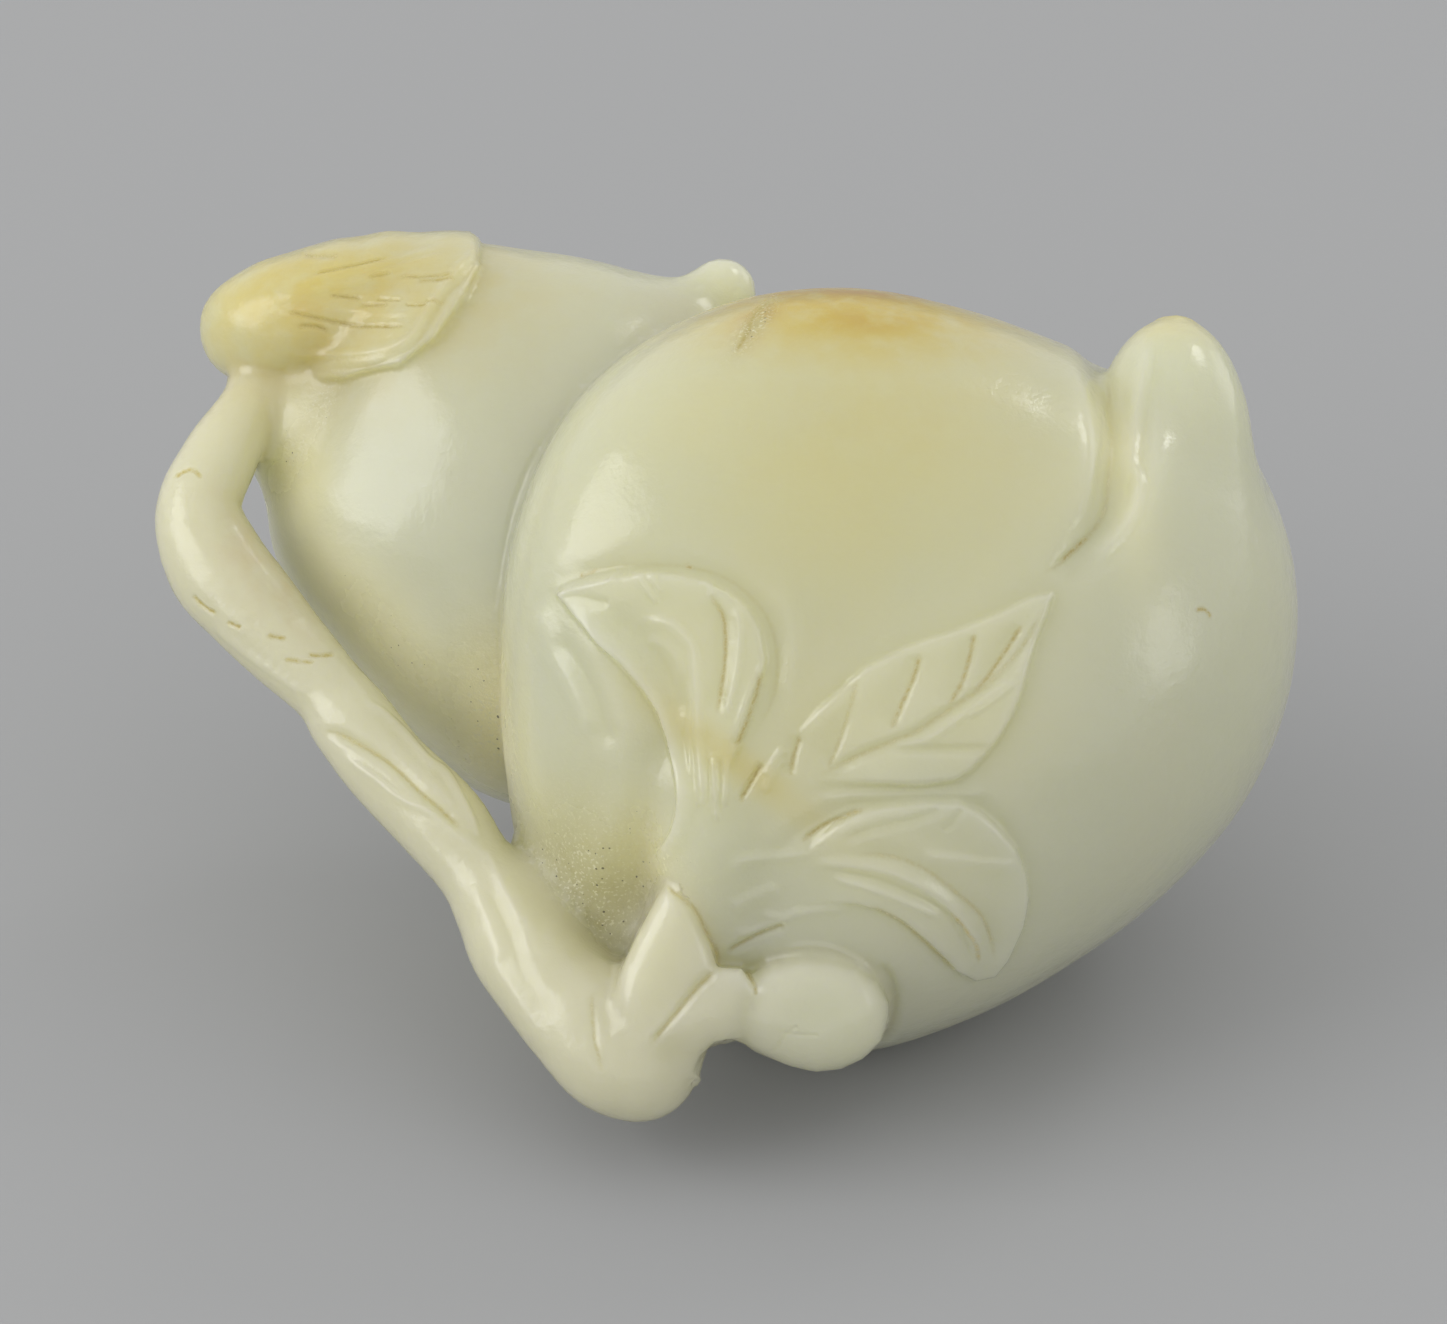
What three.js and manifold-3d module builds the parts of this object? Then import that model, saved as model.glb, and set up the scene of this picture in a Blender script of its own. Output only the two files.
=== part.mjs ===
// A jade pendant carved in one piece: two peaches on a leafy branch that loops round their left side.
// Lengths are in millimetres. The carving is drawn in its front view, with x to the right, y up the face
// and z out of the face, and the origin in the middle of the large peach. The finished piece then leans
// back into the pose that it rests in on a table, on the small flat spot ground under the large peach.

import * as THREE from "three";
import { mergeVertices } from "three/addons/utils/BufferGeometryUtils.js";
import Module from "manifold-3d";

// The resting pose: how far the face leans back, and where the middle of the large peach then stands.
const LEAN_BACK = THREE.MathUtils.degToRad(35);
const PEACH_ABOVE_TABLE = 17.0;
const PEACH_OVER_TABLE = { x: 9.0, y: -0.2 };

// A swelling form has the outline of its radii in the front view, evenly spaced round a full turn from
// the right, and a section that reaches its front and back depths in the middle. Its fullness is 2 where
// the section is an oval, and more where a flatter face rolls over sooner, which it may do towards one side.
const OVAL = 2;
const SIDE_SHARPNESS = 5;

// The large peach lies at the right, its cleft running down from the tip.
const LARGE_PEACH = {
  centre: new THREE.Vector3(0, 0, 0),
  radii: [
    19.45, 20.3, 20.25, 18.3, 18.3, 19.45, 20.6, 21.2, 20.7,
    20.2, 20.8, 21.0, 20.3, 19.5, 17.8, 16.9, 17.2, 18.3,
  ],
  front: 15,
  back: 17,
  fullness: 2.3,
  fuller: { by: 1.7, towards: THREE.MathUtils.degToRad(155) },
};

// The small peach stands behind it, at the left.
const SMALL_PEACH = {
  centre: new THREE.Vector3(-18.6, 7.15, -8),
  radii: [13.5, 14.0, 14.0, 14.1, 15.8, 13.7, 13.5, 12.0, 12.6, 14.2, 14.1, 13.5],
  front: 11,
  back: 9,
};

// The folded leaf at the small peach's shoulder. Its margin lies over the peach as a skin of even thickness,
// inside an outline in the front view.
const FOLDED_LEAF = {
  centre: new THREE.Vector3(-28, 18.3, -7.4),
  radii: [5.2, 5.2, 4.6, 4.3, 3.7, 3.6, 3.7, 4.3, 5.7, 7.4, 7.6, 6.3, 4.6, 3.6, 3.1, 3.1, 3.4, 4.2],
  front: 5.2,
  back: 5.0,
};
const MARGIN_THICKNESS = 0.7;
const MARGIN_OUTLINE = [
  [-31.5, 14.4],
  [-28.0, 14.6],
  [-25.2, 15.2],
  [-23.4, 16.6],
  [-22.1, 18.6],
  [-21.2, 20.3],
  [-21.4, 22.4],
  [-24.0, 24.4],
  [-31.0, 22.5],
];
const MARGIN_BACK = -7.0;
const MARGIN_REACH = 20;

// Leaves in relief. A midrib is a cubic curve in the front view, with the widths of the leaf's two sides and
// the place along it, as a share of its length, where the leaf is fullest.
const LEAVES = [
  {
    midrib: [[-9.6, -6.9], [-9.7, 1.5], [-10.6, 3.2], [-18.2, 3.5]],
    left: 3.4,
    right: 3.5,
    fullest: 0.45,
    rise: 0.75,
    veins: 4,
  },
  {
    midrib: [[-7.2, -6.6], [-1.75, -4.6], [3.4, -2.1], [7.3, 3.6]],
    left: 3.6,
    right: 2.8,
    fullest: 0.5,
    rise: 0.8,
    veins: 5,
  },
  {
    midrib: [[-8.6, -9.4], [-2.75, -8.0], [2.6, -9.6], [3.75, -15.2]],
    left: 3.5,
    right: 2.1,
    fullest: 0.62,
    rise: 0.8,
    veins: 4,
  },
];
const LEAF_ROWS = 22;
const LEAF_COLUMNS = 8;
const LEAF_SINK = 1.6;
const VEIN_DEPTH = 0.3;

// Limbs: points x, y, z of the middle line, each with its radius. The first is the grinding wheel's way
// down the cleft of the large peach, over the shoulder beside the tip and down the face.
const CLEFT = [
  [10.3, 17.0, -5.0, 1.5],
  [10.5, 16.9, -1.0, 1.7],
  [10.7, 15.4, 5.2, 1.7],
  [10.8, 12.6, 9.6, 1.6],
  [10.6, 9.7, 12.0, 1.5],
  [9.8, 7.4, 13.5, 1.3],
  [8.4, 5.4, 14.5, 0.9],
];

// The tips of the two peaches.
const LARGE_TIP = [
  [12.4, 6.0, 4.6, 4.8],
  [13.2, 11.0, 4.0, 4.1],
  [13.25, 13.8, 3.2, 3.4],
  [13.4, 15.8, 2.4, 2.0],
  [13.4, 16.9, 2.3, 1.45],
];
const SMALL_TIP = [
  [-12.2, 15.4, -8.0, 3.6],
  [-10.3, 17.5, -8.0, 2.3],
  [-9.15, 19.1, -8.0, 1.75],
];

// The branch, from the folded leaf down to the elbow, and the two broken ends above the elbow.
const BRANCH = [
  [-32.2, 15.0, -6.4, 1.7],
  [-32.9, 13.1, -5.0, 1.7],
  [-34.3, 10.8, -3.4, 1.95],
  [-35.4, 8.0, -2.2, 2.2],
  [-34.5, 5.3, -1.6, 2.6],
  [-32.9, 3.35, -0.8, 2.5],
  [-31.0, 1.25, 0.0, 2.25],
  [-28.8, -1.0, 0.9, 1.95],
  [-27.6, -2.6, 1.4, 2.15],
  [-25.8, -4.9, 2.2, 2.2],
  [-23.1, -7.6, 3.4, 2.3],
  [-21.3, -10.05, 4.4, 2.05],
  [-19.9, -12.0, 5.2, 2.5],
  [-19.05, -13.6, 6.0, 2.75],
  [-17.8, -15.3, 6.8, 2.8],
  [-16.3, -17.3, 7.6, 2.75],
  [-14.8, -18.95, 8.0, 2.75],
  [-13.2, -19.65, 8.2, 2.75],
];

// The stone between the branch and its broken end, and the stone left standing between it and the peach.
const SADDLE = [
  [-15.2, -15.3, 7.5, 1.8],
  [-15.3, -16.8, 8.0, 2.2],
  [-14.9, -18.4, 8.2, 2.4],
];
const WEB = [
  [-17.6, -7.0, 2.0, 1.3],
  [-17.7, -8.5, 2.2, 1.4],
  [-17.5, -9.9, 2.6, 1.5],
  [-16.6, -11.4, 3.4, 1.9],
  [-15.4, -13.2, 4.2, 2.3],
  [-14.6, -15.2, 5.6, 2.4],
];

// The hollow ground out of the large peach beside the stem.
const HOLLOW = [
  [-13.9, 1.6, 16.3, 2.0],
  [-12.9, -1.2, 15.6, 2.2],
  [-12.4, -4.5, 14.7, 2.3],
  [-12.5, -7.5, 13.6, 2.4],
  [-13.1, -10.2, 11.8, 2.6],
  [-13.9, -12.6, 9.6, 2.6],
];

// The twig from the elbow to the bud, and the leaves' stem.
const TWIG = [
  [-10.6, -17.3, 6.6, 1.4],
  [-8.8, -17.35, 6.2, 1.2],
  [-6.0, -17.2, 6.2, 1.6],
];
const STEM = [
  [-9.8, -16.5, 6.0, 1.9],
  [-9.8, -13.8, 7.6, 2.5],
  [-9.7, -11.0, 9.3, 2.6],
  [-9.7, -8.4, 10.5, 2.6],
  [-9.8, -6.0, 11.2, 2.3],
];
const RING_SIDES = 12;
const RING_STEP = 1.5;

// Rounded lumps: the branch's elbow, and where the branch joins the small peach.
const ELBOW = { centre: [-13.4, -19.4, 8.2], size: [3.4, 2.9, 3.0], turn: 12 };
const BRIDGE = { centre: [-30.6, 12.9, -6.6], size: [3.2, 3.6, 3.0], turn: 0 };

// Flat-faced forms: the closed outline in the front view, the middle with the face's height over it, how much
// the face climbs with x and y, where the back lies, and how far the rim is rounded over. They are the broken
// end and the broken spur above the elbow, and the cut face of the bud below the leaves.
const BROKEN_END = {
  outline: [
    [-13.6, -20.4], [-14.3, -18.4], [-14.6, -16.3], [-14.17, -14.7], [-13.48, -13.18], [-12.79, -11.9],
    [-12.3, -10.97], [-11.9, -10.52], [-11.22, -10.82], [-10.62, -11.41], [-10.13, -12.39],
    [-9.64, -13.43], [-9.3, -14.9], [-10.7, -17.2], [-12.2, -20.6],
  ],
  middle: [-12.3, -14.5, 12.0],
  climb: [0.08, 0.16],
  back: 6.5,
  rounding: 0.6,
};
const BROKEN_SPUR = {
  outline: [
    [-13.3, -18.0], [-11.4, -15.7], [-10.2, -14.8], [-9.54, -14.55], [-8.16, -14.65], [-7.67, -15.25],
    [-7.53, -15.93], [-7.77, -16.72], [-8.66, -18.2], [-9.54, -18.4], [-10.23, -19.08],
    [-10.7, -19.9], [-11.9, -20.5], [-13.4, -20.2],
  ],
  middle: [-9.35, -16.15, 11.9],
  climb: [-0.02, 0.2],
  back: 6.5,
  rounding: 0.45,
};
const BUD = {
  outline: [
    [-8.6, -16.25], [-8.02, -15.02], [-6.79, -14.28], [-5.31, -13.83], [-3.58, -13.83], [-2.25, -14.33],
    [-1.37, -15.21], [-0.88, -16.4], [-0.88, -17.33], [-1.27, -18.36], [-2.11, -19.2], [-3.24, -19.74],
    [-4.57, -19.89], [-5.8, -19.6], [-7.43, -18.95], [-9.0, -18.2],
  ],
  middle: [-4.15, -16.9, 11.1],
  climb: [0, 0.2],
  back: 4.5,
  rounding: 0.8,
};
const RIM_STEPS = 2;

// Faces round and along the rounded forms.
const LARGE_PEACH_FACES = [56, 30];
const SMALL_PEACH_FACES = [36, 20];
const FOLDED_LEAF_FACES = [28, 12];
const LUMP_FACES = [16, 9];

const FULL_TURN = 2 * Math.PI;

// Joins: closed meshes become manifold-3d solids, are joined and cut, and come back as geometry.

const wasm = await Module();
wasm.setup();

function toSolid(geometry) {
  const bare = new THREE.BufferGeometry();
  bare.setAttribute("position", geometry.getAttribute("position"));
  bare.setIndex(geometry.getIndex());
  const merged = mergeVertices(bare, 1e-4);
  return new wasm.Manifold(
    new wasm.Mesh({
      numProp: 3,
      vertProperties: new Float32Array(merged.getAttribute("position").array),
      triVerts: new Uint32Array(merged.getIndex().array),
    }),
  );
}

function toGeometry(solid) {
  const mesh = solid.getMesh();
  const geometry = new THREE.BufferGeometry();
  geometry.setAttribute("position", new THREE.BufferAttribute(mesh.vertProperties, 3));
  geometry.setIndex(new THREE.BufferAttribute(mesh.triVerts, 1));
  geometry.computeVertexNormals();
  return geometry;
}

// Swelling forms.

// The value at an angle of a closed run of values that are evenly spaced round a full turn.
function aroundRing(values, angle) {
  const place = (((angle / FULL_TURN) % 1) + 1) * values.length;
  const first = Math.floor(place);
  const t = place - first;
  const [a, b, c, d] = [-1, 0, 1, 2].map((step) => values[(first + step) % values.length]);
  const bend = 2 * a - 5 * b + 4 * c - d;
  return 0.5 * (2 * b + (c - a) * t + bend * t ** 2 + (3 * b - a - 3 * c + d) * t ** 3);
}

// Fullness of a form's front towards an angle of the front view.
function frontFullness({ fullness = OVAL, fuller }, angle) {
  if (!fuller) return fullness;
  return fullness + fuller.by * Math.max(0, Math.cos(angle - fuller.towards)) ** SIDE_SHARPNESS;
}

// A swelling form, as a ball whose skin is moved out to the form's own radius in each direction.
function swellingGeometry(form, [round, along]) {
  const geometry = new THREE.SphereGeometry(1, round, along).rotateX(Math.PI / 2);
  const position = geometry.getAttribute("position");
  const direction = new THREE.Vector3();
  for (let i = 0; i < position.count; i++) {
    direction.fromBufferAttribute(position, i).normalize();
    const angle = Math.atan2(direction.y, direction.x);
    const across = Math.hypot(direction.x, direction.y) / aroundRing(form.radii, angle);
    const power = direction.z > 0 ? frontFullness(form, angle) : OVAL;
    const deep = Math.abs(direction.z) / (direction.z > 0 ? form.front : form.back);
    direction.divideScalar((across ** power + deep ** power) ** (1 / power));
    position.setXYZ(i, direction.x, direction.y, direction.z);
  }
  return geometry.translate(...form.centre.toArray());
}

// Height of the large peach's front skin over a point of the front view.
function skinHeight(x, y) {
  const angle = Math.atan2(y, x);
  const share = Math.hypot(x, y) / aroundRing(LARGE_PEACH.radii, angle);
  const power = frontFullness(LARGE_PEACH, angle);
  return LARGE_PEACH.front * Math.max(0, 1 - share ** power) ** (1 / power);
}

// The folded leaf's margin: the small peach, thickened, inside the margin's outline.
function marginSolid() {
  const thickened = {
    ...SMALL_PEACH,
    radii: SMALL_PEACH.radii.map((radius) => radius + MARGIN_THICKNESS),
    front: SMALL_PEACH.front + MARGIN_THICKNESS,
  };
  const outline = new THREE.Shape(MARGIN_OUTLINE.map(([x, y]) => new THREE.Vector2(x, y)));
  const prism = new THREE.ExtrudeGeometry(outline, { depth: MARGIN_REACH, bevelEnabled: false });
  prism.translate(0, 0, MARGIN_BACK);
  return toSolid(swellingGeometry(thickened, SMALL_PEACH_FACES)).intersect(toSolid(prism));
}

// The leaves.

// A single bump, 1 in the middle and fading to nothing over about twice its width.
function bell(distance, width) {
  return Math.exp(-((distance / width) ** 2));
}

// Width of a leaf's side along its midrib, as a share of the widest: blunt at the base, drawn to a tip.
function leafWidth(along, fullest) {
  const place = along ** (Math.log(0.5) / Math.log(fullest));
  return Math.sin(Math.PI * place) ** 0.75 + 0.16 * (1 - along);
}

// A leaf in relief as a slab between a carved top and a bottom sunk in the peach, both laid over its skin.
function leafGeometry(leaf) {
  const midrib = new THREE.CubicBezierCurve(...leaf.midrib.map(([x, y]) => new THREE.Vector2(x, y)));
  const top = [];
  const bottom = [];
  for (let row = 0; row <= LEAF_ROWS; row++) {
    const along = row / LEAF_ROWS;
    const rib = midrib.getPointAt(along);
    const heading = midrib.getTangentAt(along);
    for (let column = -LEAF_COLUMNS / 2; column <= LEAF_COLUMNS / 2; column++) {
      const across = column / (LEAF_COLUMNS / 2);
      const width = Math.max(0.05, leafWidth(along, leaf.fullest) * (across > 0 ? leaf.left : leaf.right));
      const x = rib.x - heading.y * across * width;
      const y = rib.y + heading.x * across * width;
      const skin = skinHeight(x, y);
      const veins = 0.5 - 0.5 * Math.cos(FULL_TURN * leaf.veins * (along - 0.22 * Math.abs(across)));
      const edge = 1 - 0.35 * across ** 4;
      const ribCut = VEIN_DEPTH * bell(across, 0.2);
      top.push([x, y, skin + leaf.rise * edge - VEIN_DEPTH * veins ** 3 - ribCut]);
      bottom.push([x, y, skin - LEAF_SINK]);
    }
  }
  return slabGeometry(top, bottom, LEAF_ROWS + 1, LEAF_COLUMNS + 1);
}

// A closed slab between two grids of points, row by row, that share their rim's front view.
function slabGeometry(top, bottom, rows, columns) {
  const corner = (row, column) => row * columns + column;
  const below = rows * columns;
  const faces = [];
  const quad = (a, b, c, d) => faces.push(a, b, c, a, c, d);
  for (let row = 0; row < rows - 1; row++) {
    for (let column = 0; column < columns - 1; column++) {
      const [a, b] = [corner(row, column), corner(row, column + 1)];
      const [c, d] = [corner(row + 1, column + 1), corner(row + 1, column)];
      quad(a, d, c, b);
      quad(below + a, below + b, below + c, below + d);
    }
    const [near, far] = [corner(row, 0), corner(row + 1, 0)];
    quad(near, below + near, below + far, far);
    const [nearEnd, farEnd] = [corner(row, columns - 1), corner(row + 1, columns - 1)];
    quad(farEnd, below + farEnd, below + nearEnd, nearEnd);
  }
  for (let column = 0; column < columns - 1; column++) {
    const [left, right] = [corner(0, column), corner(0, column + 1)];
    quad(right, below + right, below + left, left);
    const [leftEnd, rightEnd] = [corner(rows - 1, column), corner(rows - 1, column + 1)];
    quad(leftEnd, below + leftEnd, below + rightEnd, rightEnd);
  }
  const geometry = new THREE.BufferGeometry();
  geometry.setAttribute("position", new THREE.Float32BufferAttribute([...top, ...bottom].flat(), 3));
  geometry.setIndex(faces);
  return geometry;
}

// The branch.

// A limb: rings of points round a smooth curve through the given middles, with rounded ends.
function limbGeometry(limb) {
  const curve = new THREE.CatmullRomCurve3(limb.map(([x, y, z]) => new THREE.Vector3(x, y, z)));
  const rings = Math.max(4, Math.round(curve.getLength() / RING_STEP));
  const frames = curve.computeFrenetFrames(rings);
  const points = [];
  for (let ring = 0; ring <= rings; ring++) {
    const share = ring / rings;
    const place = curve.getUtoTmapping(share) * (limb.length - 1);
    const first = Math.min(limb.length - 2, Math.floor(place));
    const radius = THREE.MathUtils.lerp(limb[first][3], limb[first + 1][3], place - first);
    const middle = curve.getPointAt(share);
    for (let side = 0; side < RING_SIDES; side++) {
      const angle = (FULL_TURN * side) / RING_SIDES;
      points.push(
        middle
          .clone()
          .addScaledVector(frames.normals[ring], radius * Math.cos(angle))
          .addScaledVector(frames.binormals[ring], radius * Math.sin(angle)),
      );
    }
  }
  const faces = [];
  for (let ring = 0; ring < rings; ring++) {
    for (let side = 0; side < RING_SIDES; side++) {
      const next = (side + 1) % RING_SIDES;
      const [a, b] = [ring * RING_SIDES + side, ring * RING_SIDES + next];
      const [c, d] = [b + RING_SIDES, a + RING_SIDES];
      faces.push(a, b, c, a, c, d);
    }
  }
  const endCap = (ring, outward) => {
    const radius = limb[ring === 0 ? 0 : limb.length - 1][3];
    const start = ring * RING_SIDES;
    const pole = points.length;
    const reach = 0.6 * radius * outward;
    points.push(curve.getPointAt(ring / rings).addScaledVector(frames.tangents[ring], reach));
    for (let side = 0; side < RING_SIDES; side++) {
      const [a, b] = [start + side, start + ((side + 1) % RING_SIDES)];
      faces.push(pole, ...(outward > 0 ? [a, b] : [b, a]));
    }
  };
  endCap(0, -1);
  endCap(rings, 1);
  return new THREE.BufferGeometry().setFromPoints(points).setIndex(faces);
}

// A rounded lump: a ball, stretched to its size and turned.
function lumpGeometry({ centre, size, turn }) {
  return new THREE.SphereGeometry(1, ...LUMP_FACES)
    .scale(...size)
    .rotateZ(THREE.MathUtils.degToRad(turn))
    .translate(...centre);
}

// A flat-faced form: a prism with a rounded rim, its front half leant so that the face climbs as it should.
function flatFacedGeometry({ outline, middle: [x, y, height], climb, back, rounding }) {
  const shape = new THREE.Shape(outline.map((corner) => new THREE.Vector2(...corner)));
  const geometry = new THREE.ExtrudeGeometry(shape, {
    depth: height - back - 2 * rounding,
    bevelThickness: rounding,
    bevelSize: rounding,
    bevelOffset: -rounding,
    bevelSegments: RIM_STEPS,
  }).translate(0, 0, back + rounding);
  const position = geometry.getAttribute("position");
  for (let i = 0; i < position.count; i++) {
    if (position.getZ(i) < (height + back) / 2) continue;
    const lift = climb[0] * (position.getX(i) - x) + climb[1] * (position.getY(i) - y);
    position.setZ(i, position.getZ(i) + lift);
  }
  return geometry;
}

// The block under the table top, as the front view has it: what it takes off is the flat resting spot.
function underTable() {
  const size = 200;
  return new THREE.BoxGeometry(size, size, size)
    .translate(0, 0, -PEACH_ABOVE_TABLE - size / 2)
    .rotateX(LEAN_BACK - Math.PI / 2);
}

// The finished carving.

const largePeach = toSolid(swellingGeometry(LARGE_PEACH, LARGE_PEACH_FACES))
  .subtract(toSolid(limbGeometry(CLEFT)))
  .subtract(toSolid(limbGeometry(HOLLOW)));
const forms = [
  swellingGeometry(SMALL_PEACH, SMALL_PEACH_FACES),
  swellingGeometry(FOLDED_LEAF, FOLDED_LEAF_FACES),
  ...LEAVES.map(leafGeometry),
  ...[LARGE_TIP, SMALL_TIP, BRANCH, SADDLE, WEB, TWIG, STEM].map(limbGeometry),
  ...[BROKEN_END, BROKEN_SPUR, BUD].map(flatFacedGeometry),
  ...[ELBOW, BRIDGE].map(lumpGeometry),
];
const carved = forms
  .map(toSolid)
  .reduce((whole, form) => whole.add(form), largePeach.add(marginSolid()))
  .subtract(toSolid(underTable()));

const paleJade = new THREE.MeshStandardMaterial({ color: 0xc9c8a4, roughness: 0.28, metalness: 0 });
const pendant = new THREE.Mesh(toGeometry(carved), paleJade);
pendant.name = "peach_pendant";

const atRest = new THREE.Group();
atRest.rotation.x = Math.PI / 2 - LEAN_BACK;
atRest.position.set(PEACH_OVER_TABLE.x, PEACH_OVER_TABLE.y, PEACH_ABOVE_TABLE);
atRest.add(pendant);

const part = new THREE.Group();
part.add(atRest);

export default part;
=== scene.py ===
"""A jade pendant of two peaches on a leafy branch, carved in one piece, with its stage, lights and camera."""

import functools
import math

import bpy
import numpy as np
from mathutils import Matrix, Vector


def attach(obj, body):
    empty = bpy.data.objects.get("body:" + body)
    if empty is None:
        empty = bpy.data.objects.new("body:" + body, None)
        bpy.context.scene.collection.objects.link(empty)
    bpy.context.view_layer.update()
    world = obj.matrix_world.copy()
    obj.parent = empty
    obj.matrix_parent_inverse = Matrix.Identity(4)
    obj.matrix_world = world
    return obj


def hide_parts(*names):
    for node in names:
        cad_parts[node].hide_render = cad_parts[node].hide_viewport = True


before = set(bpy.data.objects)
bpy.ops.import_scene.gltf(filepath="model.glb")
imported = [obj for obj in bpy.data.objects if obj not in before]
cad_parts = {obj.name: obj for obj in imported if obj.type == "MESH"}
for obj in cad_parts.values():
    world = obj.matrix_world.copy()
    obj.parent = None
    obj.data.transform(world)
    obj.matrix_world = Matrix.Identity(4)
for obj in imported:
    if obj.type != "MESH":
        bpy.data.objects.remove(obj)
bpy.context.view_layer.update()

bl_info = {
    "name": "Jade peach pendant",
    "version": (1, 0, 0),
    "blender": (4, 5, 0),
    "location": "View3D > Sidebar > Pendant",
    "description": "Carves a jade pendant of two peaches on a branch and sets its stage",
    "category": "Object",
}

# The carving is drawn in its front view, in millimetres: x to the right, y up the face, z out of the face,
# with the origin in the middle of the large peach. It leans back as it rests on the table.
LEAN_BACK = math.radians(35)
PEACH_MIDDLE = np.array([9.0, -0.2, 17.0])
SCREEN_AXES = np.array([
    [1.0, 0.0, 0.0],
    [0.0, math.sin(LEAN_BACK), math.cos(LEAN_BACK)],
    [0.0, -math.cos(LEAN_BACK), math.sin(LEAN_BACK)],
])
MILLIMETRE = 0.001


def pairs(numbers):
    """A run of numbers as points in the front view."""
    return tuple(zip(numbers[::2], numbers[1::2]))


# Swelling forms: radii evenly spaced round the front view from the right, and how deep each goes. The large
# peach's front is fuller than an oval, whose fullness is 2, and fullest towards one side.
LARGE_PEACH = {
    "centre": (0, 0, 0),
    "radii": (
        19.45, 20.3, 20.25, 18.3, 18.3, 19.45, 20.6, 21.2, 20.7, 20.2, 20.8, 21, 20.3, 19.5, 17.8, 16.9,
        17.2, 18.3,
    ),
    "front": 15,
    "back": 17,
    "fullness": 2.3,
    "fuller": 1.7,
    "fuller_side": 155,
}
SMALL_PEACH = {
    "centre": (-18.6, 7.15, -8),
    "radii": (13.5, 14, 14, 14.1, 15.8, 13.7, 13.5, 12, 12.6, 14.2, 14.1, 13.5),
    "front": 11,
    "back": 9,
}
FOLDED_LEAF = {
    "centre": (-28, 18.3, -7.4),
    "radii": (5.2, 5.2, 4.6, 4.3, 3.7, 3.6, 3.7, 4.3, 5.7, 7.4, 7.6, 6.3, 4.6, 3.6, 3.1, 3.1, 3.4, 4.2),
    "front": 5.2,
    "back": 5,
}

# The folded leaf's margin lies over the small peach's shoulder as a skin of this thickness.
LEAF_SKIN = 0.7
LEAF_MARGIN = pairs((
    -31.5, 14.4, -28, 14.6, -25.2, 15.2, -23.4, 16.6, -22.1, 18.6, -21.2, 20.3, -21.4, 22.4, -24,
    24.4, -31, 22.5
))

# Limbs: the points of a middle line, each x, y, z and radius.
CLEFT = (
    (10.3, 17, -5, 1.5), (10.5, 16.9, -1, 1.7), (10.7, 15.4, 5.2, 1.7), (10.8, 12.6, 9.6, 1.6),
    (10.6, 9.7, 12, 1.5), (9.8, 7.4, 13.5, 1.3), (8.4, 5.4, 14.5, 0.9),
)
LARGE_TIP = (
    (12.4, 6, 4.6, 4.8), (13.2, 11, 4, 4.1), (13.25, 13.8, 3.2, 3.4), (13.4, 15.8, 2.4, 1.95),
)
SMALL_TIP = ((-12.2, 15.4, -8, 3.6), (-10.3, 17.5, -8, 2.3), (-9.15, 19.1, -8, 1.75))
BRANCH = (
    (-32.2, 15, -6.4, 1.7), (-32.9, 13.1, -5, 1.7), (-34.3, 10.8, -3.4, 1.95),
    (-35.4, 8, -2.2, 2.2), (-34.5, 5.3, -1.6, 2.6), (-32.9, 3.35, -0.8, 2.5), (-31, 1.25, 0, 2.25),
    (-28.8, -1, 0.9, 1.95), (-27.6, -2.6, 1.4, 2.15), (-25.8, -4.9, 2.2, 2.2), (-23.1, -7.6, 3.4, 2.3),
    (-21.3, -10.05, 4.4, 2.05), (-19.9, -12, 5.2, 2.5), (-19.05, -13.6, 6, 2.75),
    (-17.8, -15.3, 6.8, 2.8), (-16.3, -17.3, 7.6, 2.75), (-14.8, -18.95, 8, 2.7),
    (-13.2, -19.65, 8.2, 2.6),
)
TWIG = ((-10.6, -17.3, 6.6, 1.4), (-8.8, -17.35, 6.2, 1.2), (-6, -17.2, 6.2, 1.6))
STEM = (
    (-9.8, -16.5, 6, 1.9), (-9.8, -13.8, 7.6, 2.5), (-9.7, -11, 9.3, 2.6), (-9.7, -8.4, 10.5, 2.6),
    (-9.8, -6, 11.2, 2.3),
)

# The hollow ground out of the large peach beside the stem, and the stone left between it and the branch.
HOLLOW = (
    (-13.9, 1.6, 16.3, 2), (-12.9, -1.2, 15.6, 2.2), (-12.4, -4.5, 14.7, 2.3), (-12.5, -7.5, 13.6, 2.4),
    (-13.1, -10.2, 11.8, 2.6), (-13.9, -12.6, 9.6, 2.6),
)
WEB = (
    (-17.6, -7, 2, 1.3), (-17.7, -8.6, 2.6, 1.4), (-17.5, -10, 3.5, 1.6), (-16.9, -11.4, 4.4, 1.9),
    (-16.1, -13.2, 4, 2.1), (-15.3, -15.6, 4.6, 2),
)
SADDLE = ((-15.2, -16.2, 7.5, 1.7), (-15.3, -16.8, 8, 2.2), (-14.9, -18.4, 8.2, 2.4))

# Lumps: middle, half sizes, and turn in the front view in degrees.
ELBOW = {"centre": (-13.4, -19.3, 8), "size": (3.2, 2.7, 2.75), "turn": 12.0}
BRIDGE = {"centre": (-30.6, 12.9, -6.6), "size": (3.2, 3.6, 3), "turn": 0.0}

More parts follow.
